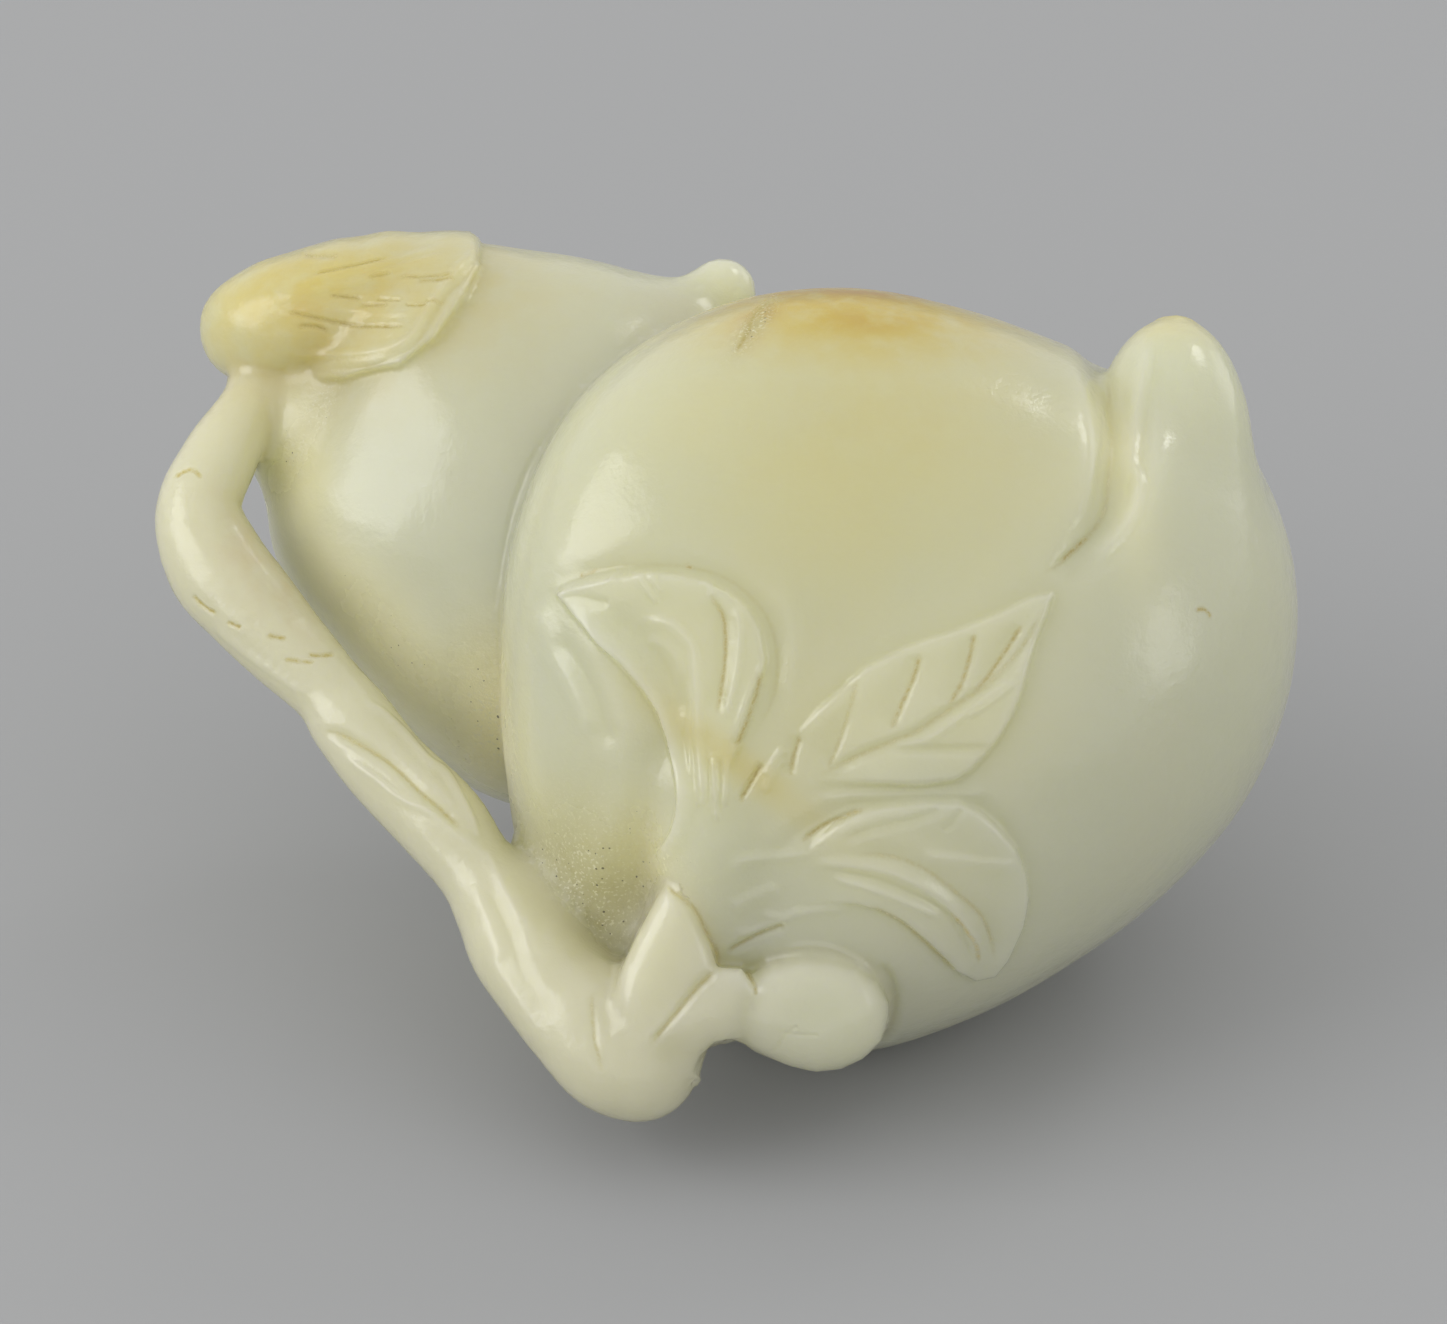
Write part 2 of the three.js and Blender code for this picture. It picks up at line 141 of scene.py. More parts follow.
# Flat-faced forms: a closed outline in the front view, planes that bound the face, each as its height over
# the middle and its slopes along x and y, the back, and how far the rim is rounded over.
BROKEN_END = {
    "outline": pairs((
        -13.6, -20.4, -14.3, -18.4, -14.6, -16.3, -14.17, -14.7, -13.48, -13.18, -12.79, -11.9, -12.3,
        -10.97, -11.9, -10.52, -11.22, -10.82, -10.62, -11.41, -10.13, -12.39, -9.64, -13.43, -9.39,
        -14.26, -9.3, -14.9, -9.9, -15.9, -10.7, -17.2, -11.6, -18.7, -12.2, -20.6
    )),
    "middle": (-12.3, -14.5),
    "planes": ((12, 0.08, 0.16), (13.6, 0, 0.55)),
    "back": 6.5,
    "rounding": 1.5,
}
BROKEN_SPUR = {
    "outline": pairs((
        -13.3, -18, -11.4, -15.7, -10.2, -14.8, -9.54, -14.55, -8.16, -14.65, -7.67, -15.25, -7.53,
        -15.93, -7.77, -16.72, -8.07, -17.36, -8.66, -18.2, -9.54, -18.4, -10.23, -19.08, -10.7, -19.9,
        -11.9, -20.5, -13.4, -20.2
    )),
    "middle": (-9.35, -16.15),
    "planes": ((12, 0.18, -0.12), (12, -0.22, 0.25), (12.6, 0, 0.6)),
    "back": 6.5,
    "rounding": 0.6,
}
BUD = {
    "outline": pairs((
        -8.6, -16.25, -8.02, -15.02, -6.79, -14.28, -5.31, -13.83, -3.58, -13.83, -2.25, -14.33, -1.37,
        -15.21, -0.88, -16.4, -0.88, -17.33, -1.27, -18.36, -2.11, -19.2, -3.24, -19.74, -4.57, -19.89,
        -5.8, -19.6, -6.79, -19.2, -7.43, -18.95, -8.02, -18.56, -9, -18.2
    )),
    "middle": (-4.15, -16.9),
    "planes": ((11.7, 0, 0.2),),
    "back": 4.5,
    "rounding": 2.3,
}

# Leaves in low relief, as closed outlines in the front view.
UPPER_LEAF = pairs((
    -17.21, 3.74, -16.06, 4.11, -14.79, 4.41, -13.02, 4.81, -11.51, 4.72, -10.13, 4.43, -9.01, 3.89,
    -7.88, 3.05, -7.26, 1.98, -7.01, 0.61, -7.16, -0.64, -7.63, -2.14, -8.13, -3.39, -8.63, -4.52, -9.13,
    -5.64, -10.01, -6.9, -11.01, -7.41, -11.39, -6.41, -11.26, -5.91, -11.45, -4.53, -11.76, -3.28,
    -12.27, -1.9, -13.02, -0.83, -14.03, 0.36, -15.17, 1.36, -16.06, 2.37, -16.82, 3.26
))
MIDDLE_LEAF = pairs((
    -5.77, -5.55, -5.6, -4.42, -5.32, -3.52, -5.26, -2.9, -4.48, -2, -2.91, -0.54, -2.12, 0.14, -1.22,
    0.58, -0.1, 1.15, 0.8, 1.48, 2.26, 1.93, 3.56, 2.44, 4.63, 2.89, 5.98, 3.57, 7.06, 3.77, 6.72, 2.67,
    6.26, 1.54, 5.85, 0.3, 5.59, -0.82, 5.25, -1.83, 4.63, -2.96, 3.79, -4.08, 3.06, -4.87, 2.27, -5.38,
    0.58, -5.68, -1.67, -5.57, -3.58, -5.57
))
LOWER_LEAF = pairs((
    -6.27, -9.91, -5.03, -8.94, -3.66, -7.62, -2.56, -7, -1.19, -6.67, 0.87, -6.45, 2.39, -6.42, 3.36,
    -6.87, 4.34, -7.7, 5.29, -8.84, 5.75, -9.93, 5.91, -11.19, 5.69, -12.59, 4.93, -14.29, 4.32, -15.07,
    3.34, -15.27, 2.34, -14.75, 1.07, -13.47, -0.19, -12.41, -1.44, -11.78, -2.54, -11.43, -4.47, -11.5,
    -6.13, -11.72
))

# Each leaf's outline and the root out of which it grows, how far a leaf rises over the peach, the width of
# that step, how far its middle dips, how deep the ground is cut round it, and how far round it that reaches.
LEAVES = ((UPPER_LEAF, (-10, -6.5)), (MIDDLE_LEAF, (-5.2, -5.2)), (LOWER_LEAF, (-5.8, -10.6)))
LEAF_RISE = 0.3
LEAF_EDGE = 0.45
LEAF_DISH = 0.14
LEAF_BED = 0.07
LEAF_REACH = 3

# The thinnest line of deposit in a groove, to each side of its middle.
THINNEST_STAIN = 0.16

# Lines cut or left standing on the face. Each has its height, below nothing for a groove, the widths of its
# left and right sides, how much brown deposit it holds, and the x and y of its points.
RELIEF_LINES = (
    # The upper leaf: midrib, ridges, veins, grooves, free edge, tip and the ground round it.
    (0.2, 0.35, 0.45, 0, -13.02, 2.49, -11.76, 2.36, -11.01, 1.8, -10.53, 1.11, -10.36, -0.14, -10.23, -2.15,
     -10.18, -3.9, -10.11, -5.27, -9.98, -6.9),
    (0.1, 0.3, 0.3, 0, -10.63, -0.14, -10.57, -2.15, -10.61, -3.9, -10.7, -5.53),
    (0.07, 0.4, 0.4, 0, -12.9, 1.49, -12.01, 1.24, -11.39, 0.61, -11.01, -0.39),
    (0.13, 0.25, 0.25, 0, -13.25, 4.81, -12.83, 4.06, -12.2, 3.3),
    (0.1, 0.2, 0.25, 0, -12.67, 4.88, -12.33, 4.31, -12.02, 3.81),
    (0.12, 0.3, 0.4, 0, -10.13, 4.39, -9.69, 4.18, -9.48, 3.61),
    (-0.18, 0.4, 0.9, 1, -9.69, 3.61, -9.13, 2.74, -8.98, 1.86, -8.98, 0.73, -9.13, -0.64, -9.38, -2.14),
    (0.16, 0.3, 0.3, 0, -8.51, 3.3, -8.26, 2.11, -8.36, 0.36, -8.66, -1.14, -8.98, -2.39),
    (0.1, 0.3, 0.3, 0, -7.01, 0.61, -7.57, -0.64, -8.13, -2.14, -8.51, -3.65),
    (-0.2, 0.35, 0.4, 1, -7.19, -0.02, -7.51, -1.27, -7.94, -2.52, -8.51, -3.9),
    (0.3, 0.7, 0.3, 0, -16.82, 3.19, -15.8, 2.37, -15.04, 1.39, -14.03, 0.36, -13.02, -0.83, -12.27, -1.92,
     -11.74, -3.28, -11.39, -4.53, -11.16, -5.91, -11.24, -7.17, -11.64, -8.3, -12.78, -9.83),
    (-0.15, 1.1, 0.9, 0, -15.04, 2.75, -13.53, 1.99, -12.39, 0.86, -11.51, -0.64, -11.01, -2.4),
    (0.2, 0.35, 0.4, 0, -17.21, 3.76, -16.31, 4.11, -15.17, 4.38, -14.03, 4.69),
    (-0.12, 0.4, 0.5, 0, -16.95, 3.64, -15.8, 3.57, -14.54, 3.25),
    (-0.16, 0.9, 0.4, 0.15, -17.59, 4.42, -16.82, 4.58, -15.81, 4.83, -14.03, 5.13, -12.27, 5.15, -10.64,
     5.02, -9.01, 4.51, -7.76, 3.61, -6.94, 2.55, -6.53, 1.36, -6.44, -0.14, -6.76, -1.64, -7.51, -3.27),
    (0.08, 0.7, 0.7, 0, -6.63, 4.23, -5.88, 2.98, -5.61, 1.73, -5.7, 0.36, -6.13, -1.39),
    (-0.15, 0.9, 1, 0, -17.59, 1.62, -16.69, 0.74, -15.8, -0.65, -15.17, -2.16, -14.54, -3.92),
    (0.15, 0.8, 0.8, 0, -18.43, 3.27, -17.85, 2, -17.46, 0.86, -16.69, -0.4, -16.06, -1.66, -15.55, -3.29),
    (-0.04, 0.2, 0.2, 0.9, -16.25, 4.62, -15.81, 4.76, -15.23, 4.95),
    (0.03, 0.2, 0.2, 1, -10.99, 5.1, -10.61, 5.04),
    # The middle leaf: veins, midrib, ridges and the ground under it.
    (-0.15, 0.4, 1.3, 0.4, -2.51, -0.26, -2.79, -1.49, -3.13, -2.62, -3.69, -4.19, -4.03, -4.87),
    (-0.16, 0.4, 1.4, 1, 0.57, 0.87, 0.18, -0.48, -0.32, -1.61, -0.88, -2.95),
    (-0.16, 0.4, 1.2, 1, 3.22, 1.88, 2.88, 0.3, 2.49, -0.82, 1.92, -1.72),
    (-0.16, 0.4, 0.9, 1, 5.53, 2.22, 4.74, 0.98, 3.84, -0.37, 3.16, -1.04),
    (-0.15, 0.35, 0.6, 0.7, -5.32, -3.18, -5.6, -4.08, -5.82, -5.21),
    (-0.2, 0.45, 0.5, 0.35, -4.48, -5.21, -2.23, -4.08, -1, -3.57, 0.46, -2.95, 2.04, -1.89, 3.5, -0.93, 4.63,
     0.08, 5.76, 1.54, 6.49, 3),
    (0.12, 0.3, 0.4, 0, -1, -3.69, 0.58, -3.43, 1.59, -2.87, 2.83, -2, 3.95, -1.18, 5.19, -0.26),
    (0.1, 0.25, 0.35, 0, 6.38, 3.12, 5.64, 1.54, 4.8, 0.3, 3.72, -0.82),
    (0.12, 0.25, 0.5, 0, 5.42, -0.37, 3.95, -1.55, 2.71, -2.34),
    (-0.12, 0.3, 0.4, 0, -1.22, -3.74, 0.58, -3.83, 2.38, -3.8, 4.07, -3.74),
    (0.08, 0.3, 0.8, 0, -1.22, -4.02, 0.58, -4.14, 2.16, -4.14, 3.62, -4.14),
    (0.06, 0.3, 0.4, 0, 6.61, 3.12, 5.81, 0.75, 5.3, -1.05, 4.63, -2.62, 3.79, -4.14),
    (0.15, 0.5, 0.35, 0, -3.57, -6.22, -2.45, -6.13, -0.54, -6.16, 1.26, -6.11, 2.84, -6.11, 4.08, -6),
    (-0.1, 0.6, 0.4, 0, -5.04, -5.88, -2.79, -5.83, -0.32, -5.82, 2.39, -5.77),
    (0.14, 0.35, 0.4, 0, -6.11, -3.75, -6.61, -4.53, -7, -5.27),
    # The lower leaf, its stem's sides and the fan of lines above them.
    (0.22, 0.45, 0.35, 0, -4.75, -9.49, -2.83, -9.49, -1.17, -9.76, 0.21, -10.32, 1.6, -11.16, 2.58, -12.14,
     3.3, -13.42, 3.53, -14.55),
    (0.18, 0.35, 0.3, 0, -3.79, -10.15, -2.27, -10.46, -0.75, -11.01, 0.63, -11.6, 1.75, -12.14),
    (-0.12, 0.3, 0.3, 0, -3.65, -9.83, -1.72, -10.18, -0.06, -10.81, 1.46, -11.58, 2.45, -12.56, 3.17,
     -14.26),
    (-0.14, 0.9, 0.4, 0.4, -2.56, -8.93, -0.49, -9.21, 1.03, -9.91, 2.43, -10.95, 3.55, -12.01, 4.06, -13.14,
     4.23, -14.28),
    (-0.15, 0.5, 0.5, 0.6, -1.99, -11.54, -1.16, -11.85, -0.19, -12.48, 1.07, -13.57, 2.49, -14.97),
    (0.12, 0.3, 0.7, 0, 0.61, -9, 2.27, -9.15, 3.66, -9.33, 5.35, -9.4),
    (-0.12, 0.3, 0.5, 0, -3.25, -8.27, -1.87, -7.71, -0.09, -7.3, 1.7, -6.72),
    (-0.08, 0.35, 0.35, 0, 2.6, -6.66, 2.12, -7.42, 1.64, -7.83),
    (0.1, 0.3, 0.4, 0, -7.37, -11.92, -6.26, -12.11, -4.47, -11.78, -2.82, -11.71),
    (0.12, 0.5, 0.4, 0, -4.49, -6.24, -2.56, -6.14, 0.19, -6.24, 2.25, -6.1, 3.63, -6.38),
    (-0.1, 0.8, 0.5, 0, -6.96, -9.5, -5.72, -8.25, -4.48, -7.41, -2.84, -6.65, -0.91, -6.34, 1.01, -6.24,
     2.67, -6.24, 4.05, -7.01, 5.17, -8.12, 5.88, -9.37),
    (-0.15, 0.35, 0.4, 0.8, -5.31, -8.45, -4.35, -7.72, -3.25, -7.21, -2.15, -6.79),
    (0.12, 0.4, 0.4, 0, -8.75, -9.9, -8.06, -9.35, -6.41, -9.15, -4.76, -8.94),
    (0.12, 0.35, 0.35, 0, -8.61, -12.95, -7.64, -12.83, -6.68, -12.49, -5.02, -11.71),
    (-0.2, 0.35, 0.4, 0.5, -8.89, -13.93, -8.06, -13.45, -6.95, -12.84, -5.99, -12.49),
    (0.1, 0.5, 0.6, 0, -8.75, -11.7, -7.65, -11.16, -6.27, -10.6),
    (0.12, 0.25, 0.25, 0, -9.57, -4.25, -9.51, -5.49, -9.44, -6.59, -9.44, -7.55),
    (0.12, 0.2, 0.25, 0, -10.13, -5.21, -10.1, -6.04, -10.19, -6.73),
    (0.08, 0.25, 0.25, 0, -8.82, -4.25, -8.89, -5.62, -9.09, -6.72),
    (-0.1, 0.2, 0.2, 0, -9.23, -4.25, -9.23, -5.9, -9.37, -7),
    (-0.1, 0.2, 0.2, 0, -9.85, -4.25, -9.82, -5.62, -9.88, -6.73),
    (-0.16, 0.25, 0.3, 1, -7.17, -4.52, -7.65, -5.35, -8.27, -6.48),
    (0.1, 0.35, 0.4, 0, -6.14, -4.25, -6.69, -5.07, -7.1, -6.04),
    (-0.12, 0.25, 0.25, 0.7, -5.66, -3.97, -5.83, -5.07),
    (-0.03, 0.2, 0.2, 0.9, 2.02, -11.72, 2.73, -12.57, 3.3, -13.42, 3.43, -14.27),
    # The peaches: the cleft's edges, the tip, polish lines, small marks and the crack.
    (0.3, 0.4, 0.9, 0, 12.08, 16.59, 11.88, 14.97, 11.6, 13.53, 11.31, 11.44, 11.2, 10.17, 11.49, 9.21, 11.14,
     7.63, 10.1, 6.21, 8.82, 5.03),
    (-0.15, 0.5, 0.4, 0.3, 10.05, 14.93, 10.04, 13.22, 10.19, 11.45, 9.93, 9.22, 9.66, 7.79, 8.85, 6.52, 7.57,
     5.34, 6.45, 4.63),
    (0.12, 0.5, 0.7, 0, 9.33, 13.54, 9.45, 12.09, 9.07, 10.01, 8.71, 8.26, 8.37, 6.84),
    (0.02, 0.5, 0.5, 0, 12.08, 16.68, 13.98, 16.67),
    (-0.07, 0.25, 0.25, 0, -16.62, 13.58, -18.59, 10.55, -19.54, 8, -20.1, 5.46, -20.26, 3.88),
    (-0.05, 0.25, 0.25, 0, -17.96, 11.5, -19.22, 9.11, -19.86, 6.89),
    (-0.04, 0.15, 0.15, 1, 7.49, 5.29, 8.13, 5.92, 8.88, 6.59),
    (-0.02, 0.12, 0.12, 1, 14.1, 2.95, 14.5, 3, 14.8, 2.8, 14.9, 2.5),
    (-0.1, 0.35, 0.35, 1, -6.66, 18.48, -7.32, 17.89, -7.72, 17.31, -7.95, 16.65, -8.51, 15.68),
    # The folded leaf: its bed and margin, engraved lines and folds.
    (-0.16, 0.4, 0.5, 0.15, -29.4, 15, -28.39, 15.09, -26.81, 15.18, -25.45, 15.68, -24.49, 16.31, -23.74,
     17.48, -22.93, 18.78, -21.93, 19.88, -21.38, 20.75, -20.88, 21.22),
    (0.12, 0.35, 0.25, 0, -31.22, 15.93, -29.45, 15.81, -27.35, 15.84, -25.72, 16.14, -24.5, 16.83, -23.88,
     18.07, -22.83, 19.58, -22.26, 20.31, -21.45, 21.24),
    (-0.08, 0.12, 0.12, 1, -28.88, 18.82, -28.11, 18.74, -27.15, 18.63),
    (-0.1, 0.13, 0.13, 1, -31.19, 18.06, -29.9, 17.76, -28.5, 17.44, -27.35, 17.26, -26.07, 17.21, -24.96,
     17.19),
    (-0.08, 0.12, 0.12, 1, -30.49, 17.26, -29.65, 17.26, -28.82, 17.03),
    (-0.07, 0.12, 0.12, 0.8, -27.28, 18.25, -26.58, 18.31, -25.88, 18.32),
    (-0.07, 0.12, 0.12, 0.8, -25.05, 18.3, -24.41, 18.26, -23.82, 18.28),
    (-0.07, 0.12, 0.12, 0.7, -25.36, 19.77, -24.16, 19.73, -22.57, 19.82),
    (-0.07, 0.12, 0.12, 0.8, -24.41, 19.53, -23.4, 19.54, -22.5, 19.61),
    (-0.08, 0.12, 0.12, 0.8, -29.73, 19.86, -28.38, 20.16, -27.11, 20.45, -26.02, 20.7),
    (-0.1, 0.12, 0.12, 0.5, -26.51, 18.61, -25.18, 18.53),
    (-0.1, 0.12, 0.12, 0.6, -24.02, 18.49, -23.05, 18.43),
    (-0.1, 0.12, 0.12, 0.6, -26.9, 19.72, -25.75, 19.95),
    (0.06, 0.35, 0.3, 0, -30.69, 19.37, -28.63, 19.88, -26.84, 20.24, -25.06, 20.72, -23.27, 21.31),
    (0.06, 0.3, 0.3, 0, -30.17, 19.11, -27.86, 19.48, -25.56, 20.24, -23.02, 20.86),
    (0.05, 0.4, 0.35, 0, -29.39, 18.07, -27.09, 17.95, -24.92, 17.89, -23.88, 17.94),
    (-0.08, 0.6, 0.6, 0, -31.97, 18.22, -30.42, 18.46, -28.11, 19.16, -25.55, 19.36, -23.27, 19.25),
    (-0.1, 0.35, 0.35, 0.5, -30.24, 21.03, -29.44, 20.88, -28.41, 20.87),
    # The branch: crack, dashes, scar and ridges.
    (-0.06, 0.15, 0.2, 1, -36.6, 9.6, -36.1, 9.95, -35.6, 10, -35.2, 9.6),
    (-0.12, 0.15, 0.15, 1, -35.6, 3.72, -34.95, 3.08, -34.38, 2.81),
    (-0.1, 0.12, 0.12, 1, -33.87, 2.38, -33.12, 2.09),
    (-0.1, 0.12, 0.12, 1, -31.84, 1.74, -30.85, 1.56),
    (-0.1, 0.15, 0.15, 0.9, -29.81, 0.78, -29.17, 0.72, -28.44, 0.82),
    (-0.08, 0.12, 0.12, 0.8, -31, 0.53, -29.49, 0.37),
    (0.12, 0.4, 0.3, 0, -34.64, 2.25, -32.94, 0.85, -31.33, -0.3, -29.8, -1.3),
    (0.2, 0.3, 0.3, 0, -27.17, -1.37, -26.14, -2.04, -24.94, -3.18, -23.82, -4.42, -22.86, -5.13, -22.13,
     -6.31, -21.49, -7.57, -21.11, -8.64),
    (0.18, 0.25, 0.4, 0, -28.03, -4.18, -26.34, -5.36, -25.06, -6.34, -23.78, -6.94, -22.75, -7.75, -21.56,
     -8.79),
    (-0.3, 0.55, 0.45, 0.55, -29.08, -2.96, -27.79, -3.43, -25.71, -4.54, -24.27, -5.86, -23.15, -6.81,
     -21.96, -7.96),
    (0.18, 0.5, 0.4, 0, -21.16, -8.82, -20.44, -9.77, -19.64, -11.33, -18.84, -12.73),
    (-0.1, 0.8, 0.8, 0, -34.27, 8.31, -33.44, 6.23, -31.51, 3.84, -29.27, 1.77),
    # The elbow, the broken ends and the bud.
    (0.12, 0.7, 0.5, 0, -24.13, -6.73, -22.7, -7.9, -21.4, -8.84, -20.31, -10.09, -18.87, -12.28, -18.62,
     -13.81, -17.28, -14.15),
    (0.1, 0.5, 0.7, 0, -21.74, -10.38, -20.93, -11.71, -20.25, -13.82, -20.29, -14.64, -19.33, -16.17, -18.07,
     -18.04, -17.12, -19),
    (-0.12, 0.7, 0.7, 0, -20.94, -10.53, -19.65, -13.03, -18.86, -15.22, -17.43, -17.4),
    (-0.12, 0.4, 0.4, 0.3, -15.55, -15.83, -15.46, -18, -15.03, -19.87),
    (-0.2, 0.35, 0.35, 0.5, -9.34, -14.67, -10.36, -15.63, -11.14, -16.56, -12, -17.63, -12.68, -18.45),
    (-0.12, 0.2, 0.25, 0.5, -12.01, -10.49, -10.67, -11.55, -9.96, -12.68, -9.39, -13.84, -9.18, -14.71),
    (0.15, 0.2, 0.3, 0, -10.67, -19.87, -10.33, -20.23, -10.52, -20.74, -11.12, -21.5),
    (-0.15, 0.3, 0.3, 0, -9.1, -18.33, -7.52, -18.91, -7.05, -19.33),
    (0.1, 0.25, 0.2, 0, -6.26, -13.71, -5.02, -13.5, -3.77, -13.64, -2.53, -14.23, -1.55, -15.08),
    (-0.07, 0.1, 0.1, 0, -6.39, -17.71, -5.7, -17.91, -4.29, -17.97),
    (-0.07, 0.1, 0.1, 0, -5.4, -17.42, -5.98, -17.98, -6.66, -18.89),
    (-0.2, 0.4, 0.4, 0.1, -1.42, -14.37, -0.71, -15.37, -0.49, -16.65, -0.8, -17.97, -1.53, -18.79),
    (-0.05, 0.2, 0.2, 0.7, -7.92, -14.83, -7.57, -15.45, -7.48, -16),
)

# Patches of colour and finish, and of painted light: middle x, y, z, reach along x, y, z, turn in degrees,
# and strength.
YELLOW_PATCHES = (
    (-3, 8, 12, 11, 10, 9, 0, 1),
    (-6, -2, 13, 8, 7, 6, 0, 0.7),
    (3, -3, 13, 5, 4, 5, 0, 0.5),
    (-8.6, -4.3, 13, 6, 1.6, 4, -37, 1),
    (-20, -3, 2, 3, 5, 6, 0, 0.9),
    (-15, -9, 6, 5, 5, 8, 0, 0.9),
    (-29.5, 11, -4, 1.8, 4.5, 5, 0, 0.8),
)
GOLD_PATCHES = (
    (-2.9, 17.8, 4.5, 8, 3.1, 9, -2, 1),
    (-1.5, 12.5, 8, 9, 5, 8, 0, 0.24),
    (-28.6, 18.6, -4, 9.5, 5, 7, 0, 0.66),
    (-8.6, -4.3, 13, 5, 0.9, 4, -37, 0.3),
    (13.3, 17.2, 1, 2.4, 1.4, 4, 0, 0.6),
)
RUST_PATCHES = (
    (-2, 18.9, 2, 7, 0.9, 5, 0, 0.8),
    (-1.6, 17.5, 9, 2.6, 0.8, 3, 0, 0.45),
    (3.2, 18, 6.5, 2.6, 0.6, 3, -15, 0.5),
    (-7.6, 17.1, 7, 2, 0.7, 3, 56, 0.6),
    (-30, 18.2, -3, 1.8, 0.9, 3, -20, 0.16),
    (-31.8, 5.2, 1, 1.8, 4.4, 3, 35, 0.28),
)
# Painted light: pale jade painted where the carving lies in shade, in the crevices beside the branch, under
# it, beside the stem, in the cleft and on the leaves.
PAINTED_LIGHT_PATCHES = (
    (-20.3, -3.6, 0, 3.6, 5, 6, 0, 1),
    (-25.8, 1.2, -3, 2.6, 7.5, 6, 38, 0.9),
    (-30.2, 9.2, -5, 1.8, 4.2, 5, 10, 0.8),
    (10.4, 11, 9, 1.3, 7, 6, 8, 0.6),
    (-13, -9, 10, 2, 4.5, 4, 0, 0.6),
    (-10.8, 0, 13, 4.5, 5.5, 5, 0, 0.36),
    (0.5, -1.2, 14, 6.5, 3.6, 4, 20, 0.32),
    (0.5, -10.2, 13, 6, 4, 5, -20, 0.26),
)
GRIT_PATCHES = (
    (-15, -10, 6, 4.4, 3.6, 6, 0, 1),
    (-20.6, -3, 0, 2, 4.2, 6, 10, 0.9),
    (-15.3, -13.2, 6.5, 1.8, 2.4, 4, 0, 1),
    (-7.6, 17, 7, 1.9, 0.45, 5, 56, 1),
    (-30.3, 11.4, -5.5, 3.8, 0.8, 4, 59, 0.8),
    (-25.5, 1.5, -3, 1.2, 5, 5, 40, 0.5),
)

# The bud, which is less milky than the branch.
BUD_PATCH = ((-4.1, -16.9, 9, 4.6, 4.4, 6, 0, 1),)

# The camera: its place in the front view, the picture's width, and the scale at the large peach's middle.
EYE = (-9.075, 0.4, 700.0)
IMAGE_WIDTH = 1447
PIXELS_PER_MILLIMETRE = 20
SENSOR_WIDTH = 36.0

# The block of stone that holds the whole carving.
BLOCK_LOW = np.array([-39.0, -24.5, -18.5])
BLOCK_HIGH = np.array([21.5, 25.0, 16.5])

# The distance that is given for points too far off to measure, and how near a point has to be.
FAR = 6.0
REACH = 2.5

# How far the skin is set in, which leaves room for the raised lines inside the stone's own size.
SKIN_INSET = 0.045

# The flat-faced forms' edges between two faces, and the fillets between the pieces of the carving.
FACE_EDGE = 0.4
CREVICE_FILLET = 1.8


# Smooth forms as distance fields: below nothing inside the stone, above nothing outside.


def between(before, start, end, after, share):
    """The value at a share of the way from start to end, on a smooth curve through all four."""
    return 0.5 * (
        2 * start
        + (end - before) * share
        + (2 * before - 5 * start + 4 * end - after) * share**2
        + (3 * start - before - 3 * end + after) * share**3
    )


@functools.lru_cache(maxsize=None)
def smooth_line(points, steps=4):
    """Points along a smooth curve through the given ones."""
    points = np.asarray(points, dtype=float)
    padded = np.vstack([2 * points[0] - points[1], points, 2 * points[-1] - points[-2]])
    line = []
    for index in range(len(points) - 1):
        for step in range(steps):
            line.append(between(*padded[index : index + 4], step / steps))
    return np.array([*line, points[-1]])


def around_ring(values, angle):
    """The value at each angle of a closed run of evenly spaced values."""
    values = np.asarray(values, dtype=float)
    place = (angle / (2 * math.pi)) % 1.0 * len(values)
    first = np.floor(place).astype(int)
    return between(*(values[(first + step) % len(values)] for step in (-1, 0, 1, 2)), place - first)


def swelling(points, form):
    """Rough distance to the skin of a swelling form."""
    offset = points - np.array(form["centre"])
    flat = np.hypot(offset[:, 0], offset[:, 1])
    angle = np.arctan2(offset[:, 1], offset[:, 0])
    outline = around_ring(form["radii"], angle)
    front = offset[:, 2] > 0
    depth = np.where(front, form["front"], form["back"])
    side = np.maximum(np.cos(angle - math.radians(form.get("fuller_side", 0.0))), 0) ** 5
    power = np.where(front, form.get("fullness", 2.0) + form.get("fuller", 0.0) * side, 2.0)
    across = np.maximum(flat / outline, 1e-3)
    deep = np.maximum(np.abs(offset[:, 2]) / depth, 1e-3)
    share = np.maximum((across**power + deep**power) ** (1 / power), 0.05)
    slope = np.hypot((across / share) ** (power - 1) / outline, (deep / share) ** (power - 1) / depth)
    return (share - 1) / slope


def limb(points, line):
    """Distance to a limb of changing thickness."""
    line = smooth_line(line, 6)
    nearest = np.full(len(points), FAR)
    low = (line[:, :3] - line[:, 3:]).min(axis=0) - REACH
    high = (line[:, :3] + line[:, 3:]).max(axis=0) + REACH
    near = np.all((points > low) & (points < high), axis=1)
    place = points[near]
    found = np.full(len(place), FAR)
    for start, end in zip(line, line[1:]):
        heading = end[:3] - start[:3]
        away = place - start[:3]
        share = np.clip(away @ heading / (heading @ heading), 0, 1)
        gap = np.linalg.norm(away - share[:, None] * heading, axis=1)
        found = np.minimum(found, gap - start[3] - share * (end[3] - start[3]))
    nearest[near] = found
    return nearest


def turned(offset, degrees):
    """How far each offset goes along and across a direction turned in the front view."""
    turn = math.radians(degrees)
    along = offset[:, 0] * math.cos(turn) + offset[:, 1] * math.sin(turn)
    return along, offset[:, 1] * math.cos(turn) - offset[:, 0] * math.sin(turn)


def lump(points, form):
    """Rough distance to a stretched ball."""
    size = np.array(form["size"])
    offset = points - np.array(form["centre"])
    scaled = np.stack([*turned(offset, form["turn"]), offset[:, 2]], axis=1) / size
    share = np.maximum(np.linalg.norm(scaled, axis=1), 0.05)
    return (share - 1) * share / np.linalg.norm(scaled / size, axis=1)


